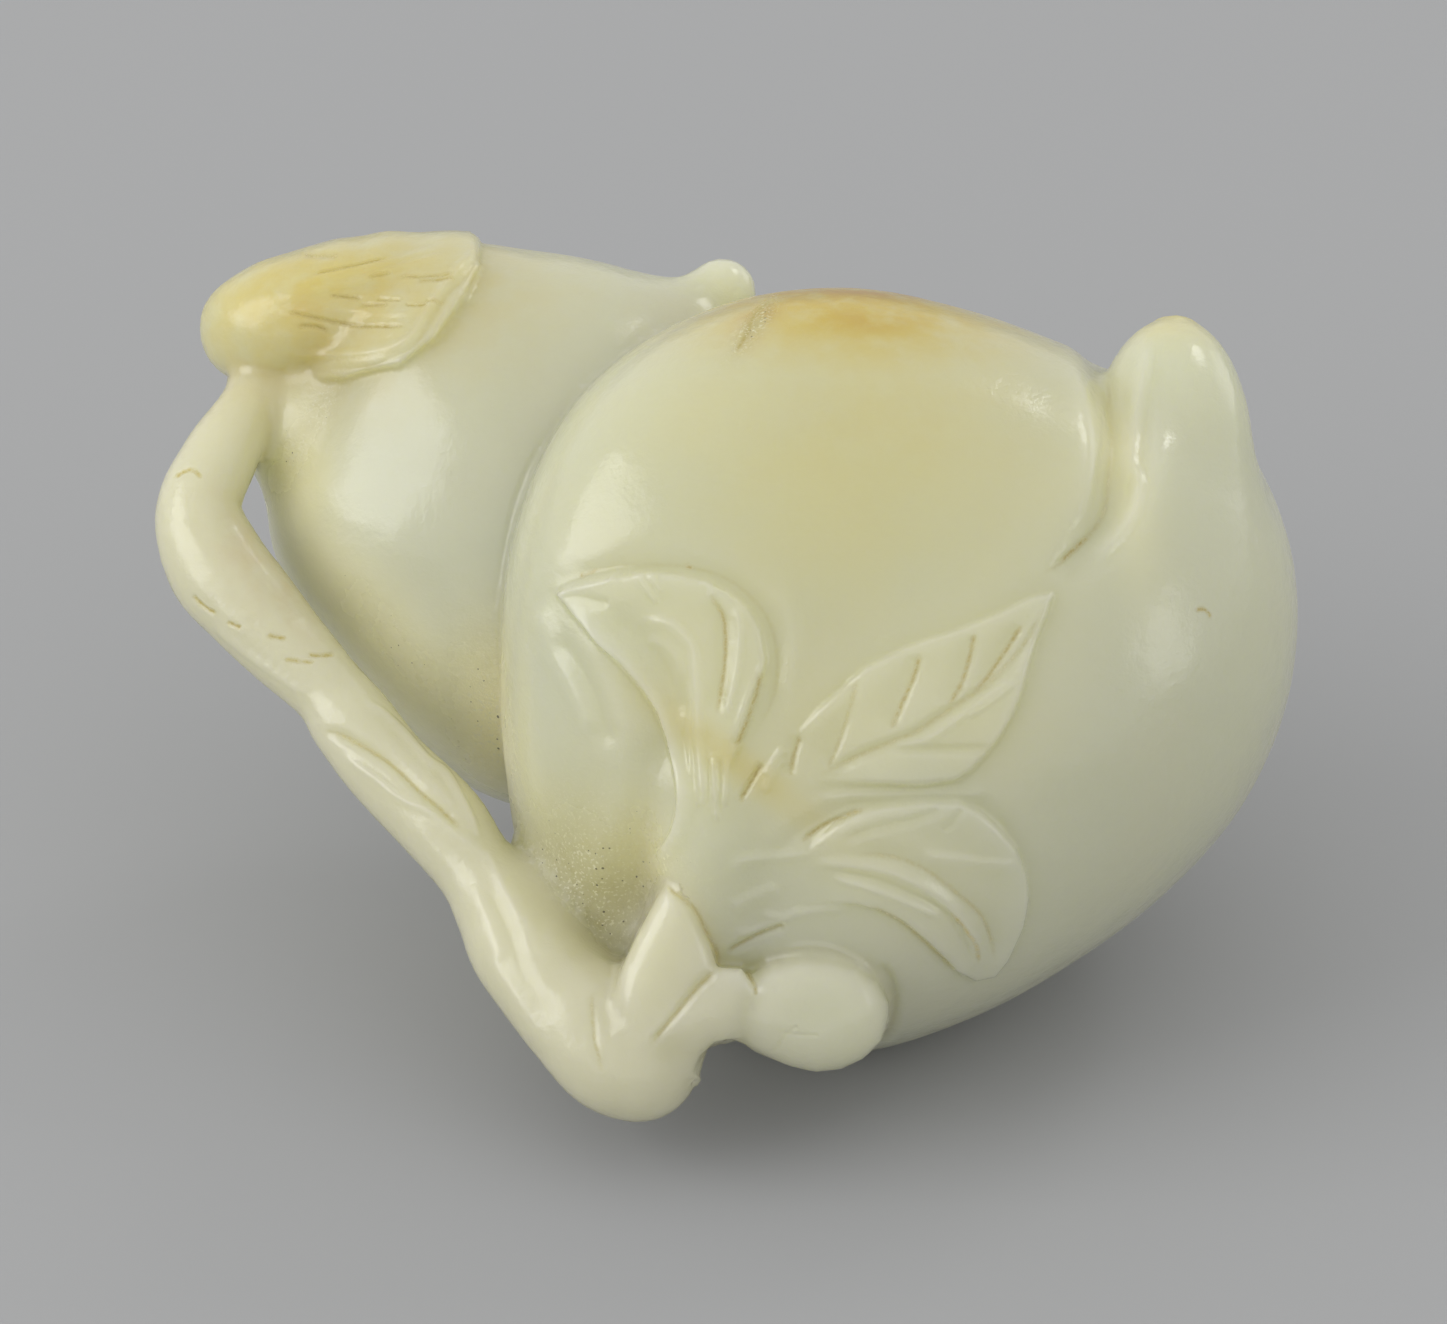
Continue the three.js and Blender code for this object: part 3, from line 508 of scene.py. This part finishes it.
def close_to(points, outline, margin):
    """The numbers of the points in or near an outline's box in the front view."""
    low = np.min(outline, axis=0) - margin
    high = np.max(outline, axis=0) + margin
    return np.flatnonzero(np.all((points[:, :2] > low) & (points[:, :2] < high), axis=1))


def inside_depth(flat, outline):
    """How deep each point lies inside a closed outline, below nothing outside it."""
    outline = np.asarray(outline, dtype=float)
    depth = np.full(len(flat), np.inf)
    inside = np.zeros(len(flat), dtype=bool)
    for start, end in zip(outline, np.roll(outline, -1, axis=0)):
        heading = end - start
        away = flat - start
        along = np.clip(away @ heading / (heading @ heading), 0, 1)
        depth = np.minimum(depth, np.linalg.norm(away - along[:, None] * heading, axis=1))
        level = (flat[:, 1] >= start[1]) != (flat[:, 1] >= end[1])
        crossing = start[0] + (flat[:, 1] - start[1]) * heading[0] / (heading[1] or 1)
        inside ^= level & (flat[:, 0] < crossing)
    return np.where(inside, depth, -depth)


def joined(first, second, fillet):
    """Two forms grown together, with a fillet in the corner between them."""
    overlap = np.maximum(1 - np.abs(first - second) / fillet, 0)
    return np.minimum(first, second) - overlap**2 * fillet / 4


def cut(form, cutter, fillet):
    """A form with a cutter taken out of it, its rims rounded over."""
    return -joined(-form, cutter, fillet)


def slab(points, form):
    """Distance to a flat-faced form, its rim rounded over."""
    distance = np.full(len(points), FAR)
    near = close_to(points, form["outline"], REACH)
    place = points[near]
    rim = -inside_depth(place[:, :2], form["outline"])
    shape = form["back"] - place[:, 2]
    offset = place[:, :2] - form["middle"]
    for height, *slopes in form["planes"]:
        face = (place[:, 2] - height - offset @ slopes) / math.sqrt(1 + slopes[0] ** 2 + slopes[1] ** 2)
        shape = -joined(-shape, -face, FACE_EDGE)
    distance[near] = -joined(-rim, -shape, form["rounding"])
    return distance


def on_table(points):
    """Points of the front view, in millimetres over the table."""
    return points @ SCREEN_AXES + PEACH_MIDDLE


def peaches(points):
    """Distance to the two peaches with the folded leaf and the leaves' stem."""
    skin = cut(swelling(points, LARGE_PEACH), limb(points, CLEFT), 0.8)
    skin = joined(skin, limb(points, LARGE_TIP), 1.0)
    skin = joined(cut(skin, limb(points, HOLLOW), 1.2), limb(points, STEM), 1.6)
    bare = swelling(points, SMALL_PEACH)
    small = joined(bare, limb(points, SMALL_TIP), 2.0)
    small = joined(small, lump(points, BRIDGE), 2.4)
    margin = np.full(len(points), FAR)
    near = np.flatnonzero(np.all(np.abs(points - [-26.0, 19.0, -7.0]) < [9.0, 7.0, 8.0], axis=1))
    rim = np.maximum(-inside_depth(points[near, :2], LEAF_MARGIN), -7.0 - points[near, 2])
    margin[near] = -joined(-(bare[near] - LEAF_SKIN), -rim, 0.6)
    folded = joined(swelling(points, FOLDED_LEAF), margin, 1.2)
    return joined(joined(skin, small, 0.6), folded, 0.3)


def branches(points):
    """Distance to the branch with its broken ends, the twig and the bud."""
    branch = joined(limb(points, BRANCH), lump(points, ELBOW), 1.0)
    branch = joined(branch, limb(points, SADDLE), 1.2)
    ends = joined(slab(points, BROKEN_END), slab(points, BROKEN_SPUR), 0.3)
    bud = joined(limb(points, TWIG), slab(points, BUD), 0.3)
    return joined(joined(branch, ends, 0.8), bud, 0.4)


def carving(points):
    """Distance to the skin of the carving, before its low relief."""
    skin = joined(joined(peaches(points), branches(points), 0.5), limb(points, WEB), CREVICE_FILLET)
    return np.maximum(skin + SKIN_INSET, -on_table(points)[:, 2])


# Low relief and patches.


def near_line(flat, line):
    """Distance to a smooth line in the front view, above nothing on its left, and how far along it."""
    line = smooth_line(line)
    headings = np.diff(line, axis=0)
    lengths = np.linalg.norm(headings, axis=1)
    reached = np.concatenate([[0], np.cumsum(lengths)])
    nearest = np.full(len(flat), np.inf)
    signed = np.zeros(len(flat))
    share = np.zeros(len(flat))
    for start, heading, length, before in zip(line, headings, lengths, reached):
        away = flat - start
        along = np.clip(away @ heading / length**2, 0, 1)
        gap = np.linalg.norm(away - along[:, None] * heading, axis=1)
        left = np.where(heading[0] * away[:, 1] - heading[1] * away[:, 0] < 0, -1.0, 1.0)
        closer = gap < nearest
        nearest[closer] = gap[closer]
        signed[closer] = (left * gap)[closer]
        share[closer] = ((before + along * length) / reached[-1])[closer]
    return signed, share


def eased(share):
    """A share from nothing to one with soft ends."""
    share = np.clip(share, 0, 1)
    return share * share * (3 - 2 * share)


def front_depth(flat):
    """How far forward the carving's skin stands at points of the front view."""
    place = np.column_stack([flat, np.full(len(flat), BLOCK_HIGH[2])])
    for _ in range(80):
        place[:, 2] -= np.clip(carving(place), -0.5, 0.5) * 0.7
    return place[:, 2]


@functools.lru_cache(maxsize=None)
def line_depths():
    """How far forward the skin stands at the points of every line, by the line."""
    lines = [pairs(entry[4:]) for entry in RELIEF_LINES]
    depths = front_depth(np.vstack(lines))
    ends = np.cumsum([len(line) for line in lines])
    return dict(zip(lines, np.split(depths, ends[:-1])))


def line_strengths(points, line, left, right):
    """How strongly each point lies on a line, and how far it is from it."""
    near = close_to(points, line, max(left, right, 0.6))
    signed, share = near_line(points[near, :2], line)
    depths = line_depths()[line]
    depth = np.interp(share, np.linspace(0, 1, len(depths)), depths)
    on_face = eased((2.6 - np.abs(points[near, 2] - depth)) / 0.8)
    ends = eased(np.minimum(share, 1 - share) / 0.16 + 0.12)
    side = np.clip(1 - np.abs(signed) / np.where(signed > 0, left, right), 0, 1)
    return near, signed, side, ends * on_face


def relief(points):
    """Height of the low relief at points of the skin, the deposit in it, and the distance to its lines."""
    raised = np.zeros(len(points))
    sunk = np.zeros(len(points))
    deposit = np.zeros(len(points))
    distance = np.full(len(points), FAR)
    for height, left, right, stain, *line in RELIEF_LINES:
        near, signed, side, strength = line_strengths(points, pairs(line), left, right)
        profile = height * (0.5 * side + 0.5 * eased(side)) * strength
        raised[near] = np.maximum(raised[near], profile)
        sunk[near] = np.minimum(sunk[near], profile)
        half_width = max(THINNEST_STAIN, 0.45 * min(left, right))
        mark = stain * eased(1 - np.abs(signed) / half_width) * strength
        deposit[near] = np.maximum(deposit[near], mark)
        distance[near] = np.minimum(distance[near], np.where(strength > 0.02, np.abs(signed), FAR))
    facing = eased((points[:, 2] - 1.0) / 3.0)
    for outline, base in LEAVES:
        near = close_to(points, outline, LEAF_REACH)
        depth = inside_depth(points[near, :2], outline)
        step = LEAF_RISE * eased(depth / LEAF_EDGE + 0.5) - LEAF_DISH * eased((depth - 0.2) / 1.6)
        bed = -LEAF_BED * np.exp(-((depth / 0.8) ** 2)) * (depth < 0)
        rooted = eased((np.linalg.norm(points[near, :2] - base, axis=1) - 1.0) / 3.0)
        raised[near] += step * facing[near] * rooted
        sunk[near] += bed * facing[near] * rooted
        distance[near] = np.minimum(distance[near], np.abs(depth))
    return raised + sunk, deposit, distance


def patches(points, spots):
    """How strongly soft patches cover the points, up to one."""
    total = np.zeros(len(points))
    for x, y, z, along, across, deep, turn, strength in spots:
        offset = points - np.array([x, y, z])
        first, second = turned(offset, turn)
        away = (first / along) ** 2 + (second / across) ** 2 + (offset[:, 2] / deep) ** 2
        total = np.maximum(total, strength * np.exp(-away))
    return total


# The mesh.


def carving_grid(step):
    """The distance to the carving at every corner of a grid over the block."""
    axes = [np.arange(low, high, step) for low, high in zip(BLOCK_LOW, BLOCK_HIGH)]
    shape = [len(axis) for axis in axes]
    values = np.empty(shape)
    across = np.stack(np.meshgrid(axes[1], axes[2], indexing="ij"), axis=-1).reshape(-1, 2)
    for index, x in enumerate(axes[0]):
        points = np.column_stack([np.full(len(across), x), across])
        values[index] = carving(points).reshape(shape[1:])
    return values


def net_over(values, step):
    """A closed net of four-sided faces where the values change sign, as corners and faces."""
    inside = values < 0
    cells = tuple(size - 1 for size in values.shape)
    total = np.zeros(cells + (3,))
    count = np.zeros(cells)
    crossings = []
    for axis in range(3):
        first = [slice(None)] * 3
        second = [slice(None)] * 3
        first[axis] = slice(0, -1)
        second[axis] = slice(1, None)
        start, end = values[tuple(first)], values[tuple(second)]
        crossed = inside[tuple(first)] != inside[tuple(second)]
        share = np.where(crossed, start / np.where(crossed, start - end, 1), 0)
        crossings.append(crossed)
        one, two = (other for other in range(3) if other != axis)
        for shift_one, shift_two in ((0, 0), (0, 1), (1, 0), (1, 1)):
            window = [slice(None)] * 3
            window[one] = slice(shift_one, cells[one] + shift_one)
            window[two] = slice(shift_two, cells[two] + shift_two)
            here = crossed[tuple(window)]
            count += here
            total[..., axis] += share[tuple(window)]
            total[..., one] += here * shift_one
            total[..., two] += here * shift_two
    used = count > 0
    index = np.full(cells, -1)
    index[used] = np.arange(used.sum())
    corners = np.argwhere(used) + total[used] / count[used][:, None]
    faces = []
    for axis in range(3):
        one, two = (axis + 1) % 3, (axis + 2) % 3
        edges = np.argwhere(crossings[axis])
        solid_first = inside[tuple(edges.T)]
        back_one, back_two = np.zeros(3, dtype=int), np.zeros(3, dtype=int)
        back_one[one] = 1
        back_two[two] = 1
        ring = [edges - back_one - back_two, edges - back_two, edges, edges - back_one]
        quads = np.stack([index[tuple(cell.T)] for cell in ring], axis=1)
        quads[~solid_first] = quads[~solid_first][:, ::-1]
        faces.append(quads)
    return BLOCK_LOW + corners * step, np.vstack(faces)


def slope_at(points, reach=0.02):
    """The direction in which the distance to the carving grows fastest, with its steepness."""
    slope = np.empty_like(points)
    for axis in range(3):
        step = np.zeros(3)
        step[axis] = reach
        slope[:, axis] = (carving(points + step) - carving(points - step)) / (2 * reach)
    return slope


def onto_skin(points, rounds=3):
    """Points moved along the slope onto the skin of the carving."""
    for _ in range(rounds):
        slope = slope_at(points)
        steepness = np.maximum((slope**2).sum(axis=1), 0.2)
        points = points - slope * np.clip(carving(points) / steepness, -0.3, 0.3)[:, None]
    return points


def split_long_edges(points, faces, wanted_length):
    """Triangles with every edge longer than is wanted at its middle split there, as points and faces."""
    edges = np.sort(np.vstack([faces[:, [0, 1]], faces[:, [1, 2]], faces[:, [2, 0]]]), axis=1)
    edges, place = np.unique(edges, axis=0, return_inverse=True)
    place = place.reshape(3, -1).T
    middles = points[edges].mean(axis=1)
    lengths = np.linalg.norm(points[edges[:, 0]] - points[edges[:, 1]], axis=1)
    split = lengths > wanted_length(middles)
    added = np.full(len(edges), -1)
    added[split] = len(points) + np.arange(split.sum())
    new = added[place]
    number = (new >= 0).sum(axis=1)
    # Columns 0 to 2 are the corners, 3 to 5 the new points on the edges that follow them.
    both = np.hstack([faces, new])
    pieces = [faces[number == 0]]
    for a in range(3):
        b, c = (a + 1) % 3, (a + 2) % 3
        once = both[(number == 1) & (new[:, a] >= 0)]
        twice = both[(number == 2) & (new[:, c] < 0)]
        pieces += [once[:, [a, a + 3, c]], once[:, [a + 3, b, c]]]
        pieces += [twice[:, [a + 3, b, b + 3]], twice[:, [a, a + 3, b + 3]], twice[:, [a, b + 3, c]]]
    thrice = both[number == 3]
    pieces += [thrice[:, [0, 3, 5]], thrice[:, [1, 4, 3]], thrice[:, [2, 5, 4]], thrice[:, 3:]]
    return np.vstack([points, onto_skin(middles[split], 2)]), np.vstack(pieces)


def detail_length(middles):
    """How long an edge may be at each point: finer along the lines of the relief."""
    distance = relief(middles)[2]
    return np.interp(distance, [0.15, 0.5, 1.1, 1.8], [0.17, 0.3, 0.6, 1.0])


def skin_normals(points):
    """The direction straight out of the skin."""
    slope = slope_at(points)
    return slope / np.maximum(np.linalg.norm(slope, axis=1), 1e-6)[:, None]


def carve_mesh(step, relief_depth):
    """The carving's skin as points in the front view, triangles, and what each point's skin holds."""
    points, quads = net_over(carving_grid(step), step)
    points = onto_skin(points, 4)
    faces = np.vstack([quads[:, [0, 1, 2]], quads[:, [0, 2, 3]]])
    for _ in range(3):
        points, faces = split_long_edges(points, faces, detail_length)
    height, deposit, _ = relief(points)
    off_branch = eased(branches(points) / 0.8)
    finish = {
        "deposit": deposit,
        "yellow": patches(points, YELLOW_PATCHES),
        "gold": patches(points, GOLD_PATCHES),
        "rust": patches(points, RUST_PATCHES),
        # Painted light over shaded places, kept off the branch.
        "painted_light": patches(points, PAINTED_LIGHT_PATCHES) * off_branch,
        "grit": patches(points, GRIT_PATCHES) * off_branch,
        "milk": (1 - off_branch) * (1 - 0.9 * patches(points, BUD_PATCH)),
    }
    return points + skin_normals(points) * height[:, None] * relief_depth, faces, finish


def feed(tree, socket, value):
    """A link or a value on an input."""
    if isinstance(value, bpy.types.NodeSocket):
        tree.links.new(value, socket)
    else:
        socket.default_value = value


def add_node(tree, kind, settings=None, inputs=None):
    """A new node with values on its properties, and values or links on its inputs."""
    node = tree.nodes.new(kind)
    for name, value in (settings or {}).items():
        setattr(node, name, value)
    for name, value in (inputs or {}).items():
        feed(tree, node.inputs[name], value)
    return node


def carried(tree, name):
    """A number that the mesh carries at each point."""
    return add_node(tree, "ShaderNodeAttribute", {"attribute_name": name}).outputs["Fac"]


def clouds(tree, place, size, detail=2.0, roughness=0.5):
    """Soft clouds, their size in millimetres."""
    inputs = {"Vector": place, "Scale": 1 / size, "Detail": detail, "Roughness": roughness}
    return add_node(tree, "ShaderNodeTexNoise", None, inputs).outputs["Fac"]


def spread(tree, value, low, high, start=0.0, end=1.0):
    """A value's range stretched over another, softly."""
    inputs = {"Value": value, "From Min": low, "From Max": high, "To Min": start, "To Max": end}
    node = add_node(tree, "ShaderNodeMapRange", {"interpolation_type": "SMOOTHSTEP"}, inputs)
    return node.outputs["Result"]


def sum_of(tree, operation, first, second):
    """Two numbers put together, kept between nothing and one."""
    node = add_node(tree, "ShaderNodeMath", {"operation": operation, "use_clamp": True})
    feed(tree, node.inputs[0], first)
    feed(tree, node.inputs[1], second)
    return node.outputs["Value"]


def times(tree, first, second):
    """Two shares multiplied."""
    return sum_of(tree, "MULTIPLY", first, second)


def coloured(tree, share, under, over):
    """One colour laid over another by a share."""
    node = add_node(tree, "ShaderNodeMix", {"data_type": "RGBA"})
    feed(tree, node.inputs["Factor"], share)
    feed(tree, node.inputs[6], under)
    feed(tree, node.inputs[7], over)
    return node.outputs[2]


def bumped(tree, height, strength, distance, **normal):
    """A skin with a grain too fine to carve, its height in metres."""
    inputs = {"Height": height, "Strength": strength, "Distance": distance, **normal}
    return add_node(tree, "ShaderNodeBump", None, inputs).outputs["Normal"]


def jade_material(look):
    """Polished jade that lets some light through, with its stained skin, deposits and unpolished hollows,
    painted light over shaded places and painted glints in the hollows.
    """
    material = bpy.data.materials.new("pale_jade")
    material.use_nodes = True
    tree = material.node_tree
    tree.nodes.clear()
    place = add_node(tree, "ShaderNodeAttribute", {"attribute_name": "front_place"}).outputs["Vector"]
    broad = clouds(tree, place, 7.0)
    middling = clouds(tree, place, 1.6, 3.0)
    fine = clouds(tree, place, 0.25, 3.0, 0.6)

    grit = carried(tree, "grit")
    deposit = times(tree, carried(tree, "deposit"), spread(tree, fine, 0.3, 0.62, 0.25, 1.0))
    blotches = spread(tree, clouds(tree, place, 0.7, 4.0, 0.65), 0.3, 0.7, 0.4, 0.7)
    specks = add_node(tree, "ShaderNodeTexVoronoi", None, {"Vector": place, "Scale": 3.0, "Randomness": 1.0})
    chance = add_node(tree, "ShaderNodeSeparateColor", None, {"Color": specks.outputs["Color"]})
    speck_size = times(tree, spread(tree, chance.outputs["Red"], 0.5, 1.0, 0.0, 0.3), grit)
    dark_speck = sum_of(tree, "LESS_THAN", specks.outputs["Distance"], speck_size)
    colour = look.jade_colour[:]
    for share, over in (
        (times(tree, carried(tree, "yellow"), spread(tree, broad, 0.25, 0.7, 0.6, 1.0)), look.yellow_colour),
        (spread(tree, broad, 0.35, 0.75, 0.0, 0.18), look.milk_colour),
        (times(tree, carried(tree, "milk"), 0.8), look.milk_colour),
        (times(tree, carried(tree, "gold"), spread(tree, middling, 0.2, 0.7, 0.75, 1.2)), look.gold_colour),
        (times(tree, carried(tree, "rust"), spread(tree, middling, 0.35, 0.7, 0.3, 1.0)), look.rust_colour),
        (deposit, look.deposit_colour),
        (times(tree, grit, blotches), look.pit_colour),
        # Painted light: pale jade laid over shaded places.
        (times(tree, carried(tree, "painted_light"), 0.85), look.painted_light_colour),
        (times(tree, dark_speck, 0.85), look.speck_colour),
        # Painted glints: pale dots in the unpolished hollows standing in for sparkling highlights.
        (times(tree, spread(tree, clouds(tree, place, 0.16, 1.0), 0.58, 0.68), grit), look.painted_glint_colour),
    ):
        colour = coloured(tree, share, colour, over[:])

    roughness = spread(tree, middling, 0.3, 0.7, look.roughness - 0.03, look.roughness + 0.06)
    roughness = sum_of(tree, "ADD", roughness, times(tree, grit, 0.3))
    roughness = sum_of(tree, "ADD", roughness, times(tree, deposit, 0.3))
    polish = bumped(tree, clouds(tree, place, 2.6, 4.0), 0.5, 0.00022)
    polish = bumped(tree, fine, 0.5, 0.00003, Normal=polish)
    pits = times(tree, clouds(tree, place, 0.22, 3.0, 0.7), grit)
    rough_skin = bumped(tree, pits, 0.8, 0.00016, Normal=polish)

    inputs = {
        "Base Color": colour,
        "Roughness": roughness,
        "IOR": 1.6,
        "Normal": rough_skin,
        "Subsurface Weight": 0.9,
        "Subsurface Radius": (0.0048, 0.005, 0.0034),
        "Subsurface Scale": 1.8,
    }
    shader = add_node(tree, "ShaderNodeBsdfPrincipled", None, inputs)
    add_node(tree, "ShaderNodeOutputMaterial", None, {"Surface": shader.outputs["BSDF"]})
    return material


def number_property(name, description, default, low, high, **kind):
    """A number that a user would change."""
    return bpy.props.FloatProperty(
        name=name, description=description, default=default, min=low, max=high, **kind
    )


def colour_property(name, description, default):
    """A colour that a user would change."""
    return bpy.props.FloatVectorProperty(
        name=name, description=description, default=(*default, 1.0), size=4, min=0.0, max=1.0, subtype="COLOR"
    )


class PendantSettings(bpy.types.PropertyGroup):
    """Sizes and colours of the pendant"""

    grid_step: number_property("Grid step", "Spacing of the skin's grid in millimetres", 0.6, 0.3, 1.2)
    relief_depth: number_property("Relief depth", "Depth of veins and folds", 1.0, 0.0, 1.5, subtype="FACTOR")
    roughness: number_property("Roughness", "Roughness of the polish", 0.17, 0.05, 0.8, subtype="FACTOR")
    jade_colour: colour_property("Jade", "Greenish grey jade of the body", (0.56, 0.565, 0.42))
    yellow_colour: colour_property("Yellow jade", "Warmer jade of the large peach's face", (0.60, 0.57, 0.29))
    milk_colour: colour_property("Milky jade", "Paler jade of the branch and the bud", (0.59, 0.56, 0.40))
    gold_colour: colour_property("Golden skin", "Golden skin of the stone", (0.55, 0.42, 0.05))
    rust_colour: colour_property("Russet skin", "Russet veins in the golden skin", (0.42, 0.23, 0.06))
    deposit_colour: colour_property("Deposit", "Brown deposit in the grooves", (0.42, 0.34, 0.10))
    # Painted light: the pale colour laid over shaded places.
    painted_light_colour: colour_property("Painted light", "Light painted over places in shade", (0.86, 0.82, 0.52))
    pit_colour: colour_property("Unpolished jade", "Olive jade of the unpolished hollows", (0.42, 0.38, 0.16))
    speck_colour: colour_property("Specks", "Dark specks in the unpolished hollows", (0.10, 0.09, 0.05))
    # Painted glints: highlights painted as pale dots in the unpolished hollows.
    painted_glint_colour: colour_property("Painted glints", "Glints painted in the unpolished hollows", (0.72, 0.70, 0.50))


def power_property(name, default):
    """The power of one of the stage's lights."""
    return number_property(name, f"Power of the {name.lower()}", default, 0.0, 50.0, unit="POWER")


class StageSettings(bpy.types.PropertyGroup):
    """Floor and lights of the stage"""

    floor_colour: colour_property("Floor", "Pale grey of the floor", (0.362, 0.365, 0.369))
    room_light: number_property("Room light", "Strength of the even light from all round", 0.84, 0.0, 5.0)
    left_power: power_property("Left softbox", 3.2)
    back_power: power_property("Back softbox", 0.6)
    top_power: power_property("Top softbox", 0.55)
    right_power: power_property("Right softbox", 0.45)


class PENDANT_OT_carve(bpy.types.Operator):
    """Carve the pendant and give it its jade"""

    bl_idname = "pendant.carve"
    bl_label = "Carve pendant"

    def execute(self, context):
        look = context.scene.pendant_settings
        step = look.grid_step * 1
        points, faces, finish = carve_mesh(step, look.relief_depth)
        place = on_table(points)
        place[:, 2] = np.maximum(place[:, 2], 0)
        mesh = bpy.data.meshes.new("jade_peach_pendant")
        mesh.from_pydata((place * MILLIMETRE).tolist(), [], faces.tolist())
        mesh.shade_smooth()
        for name, values in finish.items():
            mesh.attributes.new(name, "FLOAT", "POINT").data.foreach_set("value", values.astype(np.float32))
        front_place = mesh.attributes.new("front_place", "FLOAT_VECTOR", "POINT")
        front_place.data.foreach_set("vector", points.astype(np.float32).ravel())
        pendant = bpy.data.objects.new("jade_peach_pendant", mesh)
        context.scene.collection.objects.link(pendant)
        mesh.materials.append(jade_material(look))
        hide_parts("peach_pendant")
        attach(pendant, "root")
        return {"FINISHED"}


class PENDANT_OT_stage(bpy.types.Operator):
    """Lay the floor and set the lights and the camera"""

    bl_idname = "pendant.stage"
    bl_label = "Set stage"

    def execute(self, context):
        scene = context.scene
        look = scene.stage_settings
        bpy.ops.mesh.primitive_plane_add(size=6.0)
        floor = context.object
        floor.name = "floor"
        grey = bpy.data.materials.new("floor_grey")
        grey.use_nodes = True
        shader = grey.node_tree.nodes["Principled BSDF"]
        shader.inputs["Base Color"].default_value = look.floor_colour[:]
        shader.inputs["Roughness"].default_value = 0.9
        floor.data.materials.append(grey)
        aim = Vector((0.004, 0.0, 0.016))
        for name, direction, distance, size, power in (
            ("left_softbox", (-0.85, -0.22, 0.47), 0.9, 0.68, look.left_power),
            ("back_softbox", (0.77, 0.6, 0.22), 1.2, 0.5, look.back_power),
            ("top_softbox", (0.5, 0.55, 0.67), 1.0, 0.22, look.top_power),
            ("right_softbox", (0.866, -0.41, 0.287), 1.0, 0.3, look.right_power),
        ):
            light = bpy.data.lights.new(name, "AREA")
            light.size = size
            light.energy = power
            lamp = bpy.data.objects.new(name, light)
            toward = Vector(direction).normalized()
            lamp.location = aim + toward * distance
            lamp.rotation_euler = toward.to_track_quat("Z", "Y").to_euler()
            scene.collection.objects.link(lamp)
        world = bpy.data.worlds.new("studio")
        world.use_nodes = True
        world.node_tree.nodes["Background"].inputs["Color"].default_value = (1.0, 1.0, 1.0, 1.0)
        world.node_tree.nodes["Background"].inputs["Strength"].default_value = look.room_light
        scene.world = world
        camera = bpy.data.cameras.new("camera")
        camera.sensor_width = SENSOR_WIDTH
        camera.lens = SENSOR_WIDTH * PIXELS_PER_MILLIMETRE * EYE[2] / IMAGE_WIDTH
        viewer = bpy.data.objects.new("camera", camera)
        eye = on_table(np.array([EYE]))[0] * MILLIMETRE
        viewer.matrix_world = Matrix.Translation(eye) @ Matrix(SCREEN_AXES.T.tolist()).to_4x4()
        camera.clip_start = 0.05
        camera.clip_end = 20.0
        scene.collection.objects.link(viewer)
        scene.camera = viewer
        scene.view_settings.view_transform = "Standard"
        return {"FINISHED"}


class PENDANT_PT_sidebar(bpy.types.Panel):
    """Settings of the pendant and its stage, with the buttons that build them"""

    bl_idname = "PENDANT_PT_sidebar"
    bl_label = "Jade peach pendant"
    bl_space_type = "VIEW_3D"
    bl_region_type = "UI"
    bl_category = "Pendant"

    def draw(self, context):
        for settings, operator in (
            (context.scene.pendant_settings, PENDANT_OT_carve),
            (context.scene.stage_settings, PENDANT_OT_stage),
        ):
            for name in settings.__annotations__:
                self.layout.prop(settings, name)
            self.layout.operator(operator.bl_idname)


CLASSES = (PendantSettings, StageSettings, PENDANT_OT_carve, PENDANT_OT_stage, PENDANT_PT_sidebar)


def register():
    for item in CLASSES:
        bpy.utils.register_class(item)
    bpy.types.Scene.pendant_settings = bpy.props.PointerProperty(type=PendantSettings)
    bpy.types.Scene.stage_settings = bpy.props.PointerProperty(type=StageSettings)


def unregister():
    del bpy.types.Scene.pendant_settings
    del bpy.types.Scene.stage_settings
    for item in reversed(CLASSES):
        bpy.utils.unregister_class(item)


def main():
    register()
    bpy.ops.pendant.carve()
    bpy.ops.pendant.stage()


if __name__ == "__main__":
    main()
